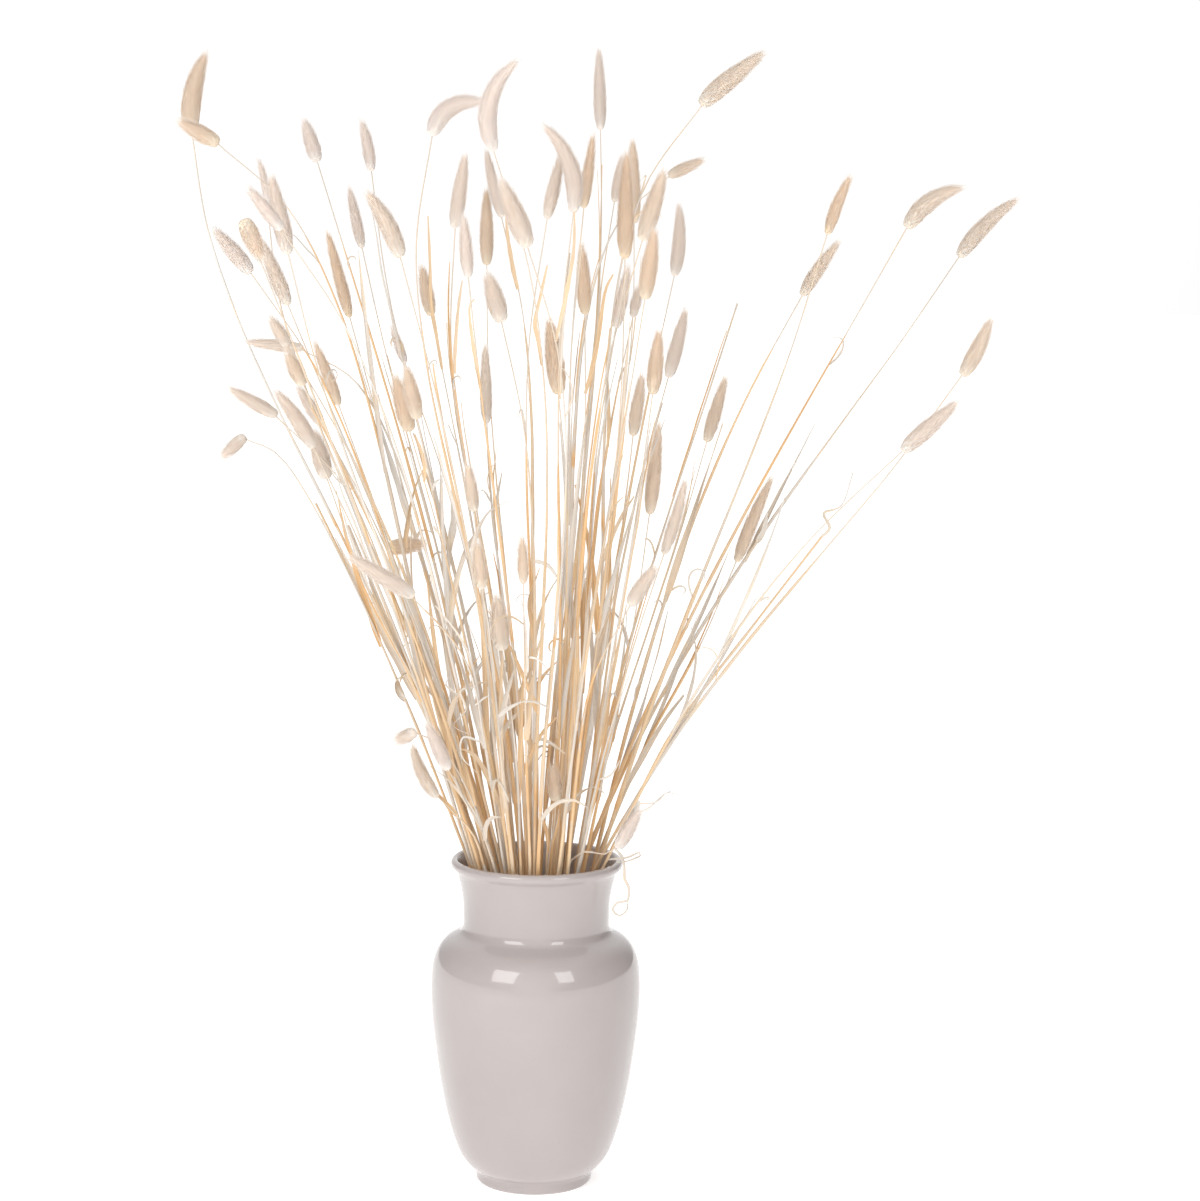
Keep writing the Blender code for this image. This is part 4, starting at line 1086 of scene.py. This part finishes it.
# Hairs on a seed head's core: each is a three-sided spike that lies forward along the head
def makePileTree(plume):
    tree = bpy.data.node_groups.new("seed_head_pile", "GeometryNodeTree")
    tree.interface.new_socket(name="Geometry", in_out="INPUT", socket_type="NodeSocketGeometry")
    for name in ("Hairs per area", "Hair length", "Hair width", "Hair lift"):
        tree.interface.new_socket(name=name, in_out="INPUT", socket_type="NodeSocketFloat")
    tree.interface.new_socket(name="Seed", in_out="INPUT", socket_type="NodeSocketInt")
    tree.interface.new_socket(name="Geometry", in_out="OUTPUT", socket_type="NodeSocketGeometry")
    inputs = addNode(tree, "NodeGroupInput").outputs
    pile = addNode(tree, "GeometryNodeInputNamedAttribute", {"data_type": "FLOAT", "Name": "pile"})
    density = addNode(
        tree, "ShaderNodeMath", {"operation": "MULTIPLY"}, {0: inputs["Hairs per area"], 1: pile.outputs["Attribute"]},
    )
    roots = addNode(
        tree, "GeometryNodeDistributePointsOnFaces", {"distribute_method": "RANDOM"},
        {"Mesh": inputs["Geometry"], "Density": density.outputs[0], "Seed": inputs["Seed"]},
    )
    growth = addNode(tree, "GeometryNodeInputNamedAttribute", {"data_type": "FLOAT_VECTOR", "Name": "growth"})
    lift = addNode(
        tree, "FunctionNodeRandomValue", {"data_type": "FLOAT", "Seed": 2, 2: 0.3, 3: 1.6}, {},
    )
    raised = addNode(
        tree, "ShaderNodeMath", {"operation": "MULTIPLY"}, {0: inputs["Hair lift"], 1: lift.outputs[1]},
    )
    outward = addNode(
        tree, "ShaderNodeVectorMath", {"operation": "SCALE"},
        {0: roots.outputs["Normal"], "Scale": raised.outputs[0]},
    )
    most = headLook["hairStray"]
    stray = addNode(
        tree, "FunctionNodeRandomValue",
        {"data_type": "FLOAT_VECTOR", "Seed": 3, 0: (-most, -most, -most), 1: (most, most, most)},
    )
    forward = addNode(
        tree, "ShaderNodeVectorMath", {"operation": "ADD"}, {0: growth.outputs["Attribute"], 1: outward.outputs[0]},
    )
    heading = addNode(
        tree, "ShaderNodeVectorMath", {"operation": "ADD"}, {0: forward.outputs[0], 1: stray.outputs[0]},
    )
    aimed = addNode(tree, "FunctionNodeAlignRotationToVector", {"axis": "Z"}, {"Vector": heading.outputs[0]})
    inward = addNode(
        tree, "ShaderNodeVectorMath", {"operation": "SCALE", "Scale": -1.0}, {0: roots.outputs["Normal"]},
    )
    faced = addNode(  # one flat side of each hair faces outward, so that it is lit as the skin below it
        tree, "FunctionNodeAlignRotationToVector", {"axis": "X", "pivot_axis": "Z"},
        {"Rotation": aimed.outputs["Rotation"], "Vector": inward.outputs[0]},
    )
    size = addNode(tree, "FunctionNodeRandomValue", {"data_type": "FLOAT", "Seed": 4, 2: 0.55, 3: 1.25})
    length = addNode(
        tree, "ShaderNodeMath", {"operation": "MULTIPLY"}, {0: inputs["Hair length"], 1: size.outputs[1]},
    )
    scale = addNode(
        tree, "ShaderNodeCombineXYZ", {},
        {"X": inputs["Hair width"], "Y": inputs["Hair width"], "Z": length.outputs[0]},
    )
    spike = addNode(
        tree, "GeometryNodeMeshCone",
        {"fill_type": "NGON", "Vertices": 3, "Radius Top": 0.0, "Radius Bottom": 1.0, "Depth": 1.0},
    )
    place = addNode(tree, "GeometryNodeInputPosition")
    split = addNode(tree, "ShaderNodeSeparateXYZ", {}, {0: place.outputs[0]})
    marked = addNode(
        tree, "GeometryNodeStoreNamedAttribute", {"data_type": "FLOAT", "domain": "POINT", "Name": "hairTip"},
        {"Geometry": spike.outputs["Mesh"], "Value": split.outputs["Z"]},
    )
    hairs = addNode(
        tree, "GeometryNodeInstanceOnPoints", {},
        {
            "Points": roots.outputs["Points"], "Instance": marked.outputs["Geometry"],
            "Rotation": faced.outputs["Rotation"], "Scale": scale.outputs[0],
        },
    )
    real = addNode(tree, "GeometryNodeRealizeInstances", {}, {"Geometry": hairs.outputs["Instances"]})
    both = addNode(tree, "GeometryNodeJoinGeometry")
    tree.links.new(real.outputs["Geometry"], both.inputs[0])
    tree.links.new(inputs["Geometry"], both.inputs[0])
    isHead = addNode(tree, "FunctionNodeCompare", {"data_type": "FLOAT", "operation": "GREATER_THAN", 1: 0.5}, {
        0: pile.outputs["Attribute"],
    })
    finished = addNode(
        tree, "GeometryNodeSetMaterial", {"Material": plume},
        {"Geometry": both.outputs[0], "Selection": isHead.outputs[0]},
    )
    addNode(tree, "NodeGroupOutput", {}, {0: finished.outputs[0]})
    return tree


def growPile(mesh, name, tree, seed):
    carrier = bpy.data.objects.new(name, mesh)
    bpy.context.scene.collection.objects.link(carrier)
    pile = carrier.modifiers.new("pile", "NODES")
    pile.node_group = tree
    wanted = {
        "Hairs per area": headLook["hairsPerArea"], "Hair length": headLook["hairLength"],
        "Hair width": headLook["hairWidth"], "Hair lift": headLook["hairLift"], "Seed": seed,
    }
    for socket in tree.interface.items_tree:
        if socket.in_out == "INPUT" and socket.name in wanted:
            pile[socket.identifier] = wanted[socket.name]
    graph = bpy.context.evaluated_depsgraph_get()
    grown = bpy.data.meshes.new_from_object(carrier.evaluated_get(graph))
    bpy.data.objects.remove(carrier)
    return grown


def makeGrass():
    straw, plume = makeStraw(), makePlume()
    tree = makePileTree(plume)
    single = leafShapes()
    total = 0
    for number, shoots in enumerate(placed, 1):
        rng = np.random.default_rng((stand["seed"], number))
        shape = newShape()
        for shoot in shoots:
            addCulm(shape, shoot, rng)
            addSleeves(shape, shoot, rng)
            addBlades(shape, shoot, rng)
            addStraps(shape, shoot, rng)
            addCurls(shape, shoot, rng)
            if shoot["line"] is not None:
                addHead(shape, shoot, rng)
        addLeaves(shape, single[number - 1], rng)
        node = f"{'stem' if len(shoots) == 1 else 'tuft'}_{number:02d}"
        mesh = meshOf(shape, node, (straw, plume))
        mesh = growPile(mesh, node, tree, number)
        for name in ("growth", "pile"):
            mesh.attributes.remove(mesh.attributes[name])
        piece = bpy.data.objects.new("dried_" + node, mesh)
        bpy.context.scene.collection.objects.link(piece)
        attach(piece, "root")
        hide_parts(node)
        mesh.calc_loop_triangles()
        total += len(mesh.loop_triangles)
    report(f"{len(placed)} tufts of {total} triangles grown")


makeGrass()


studio = {
    "floorSize": 60.0,
    "floorColour": "#fcfbfa",
    "floorGlow": 0.45,  # stands for the lamps that light the backdrop
    "world": (0.82, 1.06),  # towards the front, and towards the white backdrop behind
    "backSpan": (-0.2, 0.8),
    "stretches": (  # of the room that are darker or lighter than the rest: direction, fall-off and level
        ((0.94, 0.0, -0.34), (0.1, 0.7), 0.0),
        ((-0.94, 0.0, -0.34), (0.1, 0.7), 0.3),
        ((0.0, -1.0, 0.0), (0.2, 0.9), 1.45),
    ),
    "aim": (0.0, 0.0, 150.0),
    "softboxes": (  # bearing off the camera, elevation, distance, width, height, power in watts
        {"name": "left", "bearing": -35.5, "rise": 27.0, "away": 1.6, "width": 0.74, "height": 0.8, "power": 8.1},
        {"name": "right", "bearing": 35.5, "rise": 27.0, "away": 1.6, "width": 0.49, "height": 0.72, "power": 4.2},
    ),
}


def makeStudio():
    half = studio["floorSize"] / 2
    mesh = bpy.data.meshes.new("floor")
    mesh.from_pydata([(-half, -half, 0), (half, -half, 0), (half, half, 0), (-half, half, 0)], [], [(0, 1, 2, 3)])
    paper = bpy.data.materials.new("white_backdrop_paper")
    paper.use_nodes = True
    shader = paper.node_tree.nodes["Principled BSDF"]
    shader.inputs["Base Color"].default_value = linear(studio["floorColour"])
    shader.inputs["Roughness"].default_value = 0.9
    shader.inputs["Specular IOR Level"].default_value = 0.0
    shader.inputs["Emission Color"].default_value = (1.0, 1.0, 1.0, 1.0)
    shader.inputs["Emission Strength"].default_value = studio["floorGlow"]
    mesh.materials.append(paper)
    floor = bpy.data.objects.new("floor", mesh)
    bpy.context.scene.collection.objects.link(floor)
    for box in studio["softboxes"]:
        data = bpy.data.lights.new("softbox_" + box["name"], "AREA")
        data.shape = "RECTANGLE"
        data.size, data.size_y = box["width"], box["height"]
        data.energy = box["power"]
        light = bpy.data.objects.new("softbox_" + box["name"], data)
        bpy.context.scene.collection.objects.link(light)
        bearing, rise = math.radians(box["bearing"]), math.radians(box["rise"])
        aim = Vector(studio["aim"]) * mm
        towards = Vector((math.sin(bearing) * math.cos(rise), -math.cos(bearing) * math.cos(rise), math.sin(rise)))
        light.location = aim + towards * box["away"]
        light.rotation_euler = towards.to_track_quat("Z", "Y").to_euler()
    world = bpy.data.worlds.new("studio")
    world.use_nodes = True
    tree = world.node_tree
    tree.nodes["Background"].inputs["Color"].default_value = (1.0, 1.0, 1.0, 1.0)
    place = addNode(tree, "ShaderNodeTexCoord")
    stretches = [((0.0, 1.0, 0.0), studio["backSpan"], studio["world"])]
    stretches += [(axis, span, (1.0, level)) for axis, span, level in studio["stretches"]]
    strength = None
    for axis, span, levels in stretches:
        facing = addNode(
            tree, "ShaderNodeVectorMath", {"operation": "DOT_PRODUCT", 1: axis}, {0: place.outputs["Object"]},
        )
        part = addNode(
            tree, "ShaderNodeMapRange",
            {
                "interpolation_type": "SMOOTHSTEP", "From Min": span[0], "From Max": span[1],
                "To Min": levels[0], "To Max": levels[1],
            },
            {"Value": facing.outputs["Value"]},
        ).outputs["Result"]
        if strength is not None:
            part = addNode(tree, "ShaderNodeMath", {"operation": "MULTIPLY"}, {0: strength, 1: part}).outputs[0]
        strength = part
    tree.links.new(strength, tree.nodes["Background"].inputs["Strength"])
    bpy.context.scene.world = world
    bpy.context.scene.view_settings.view_transform = "Standard"


makeStudio()
report("studio lit")
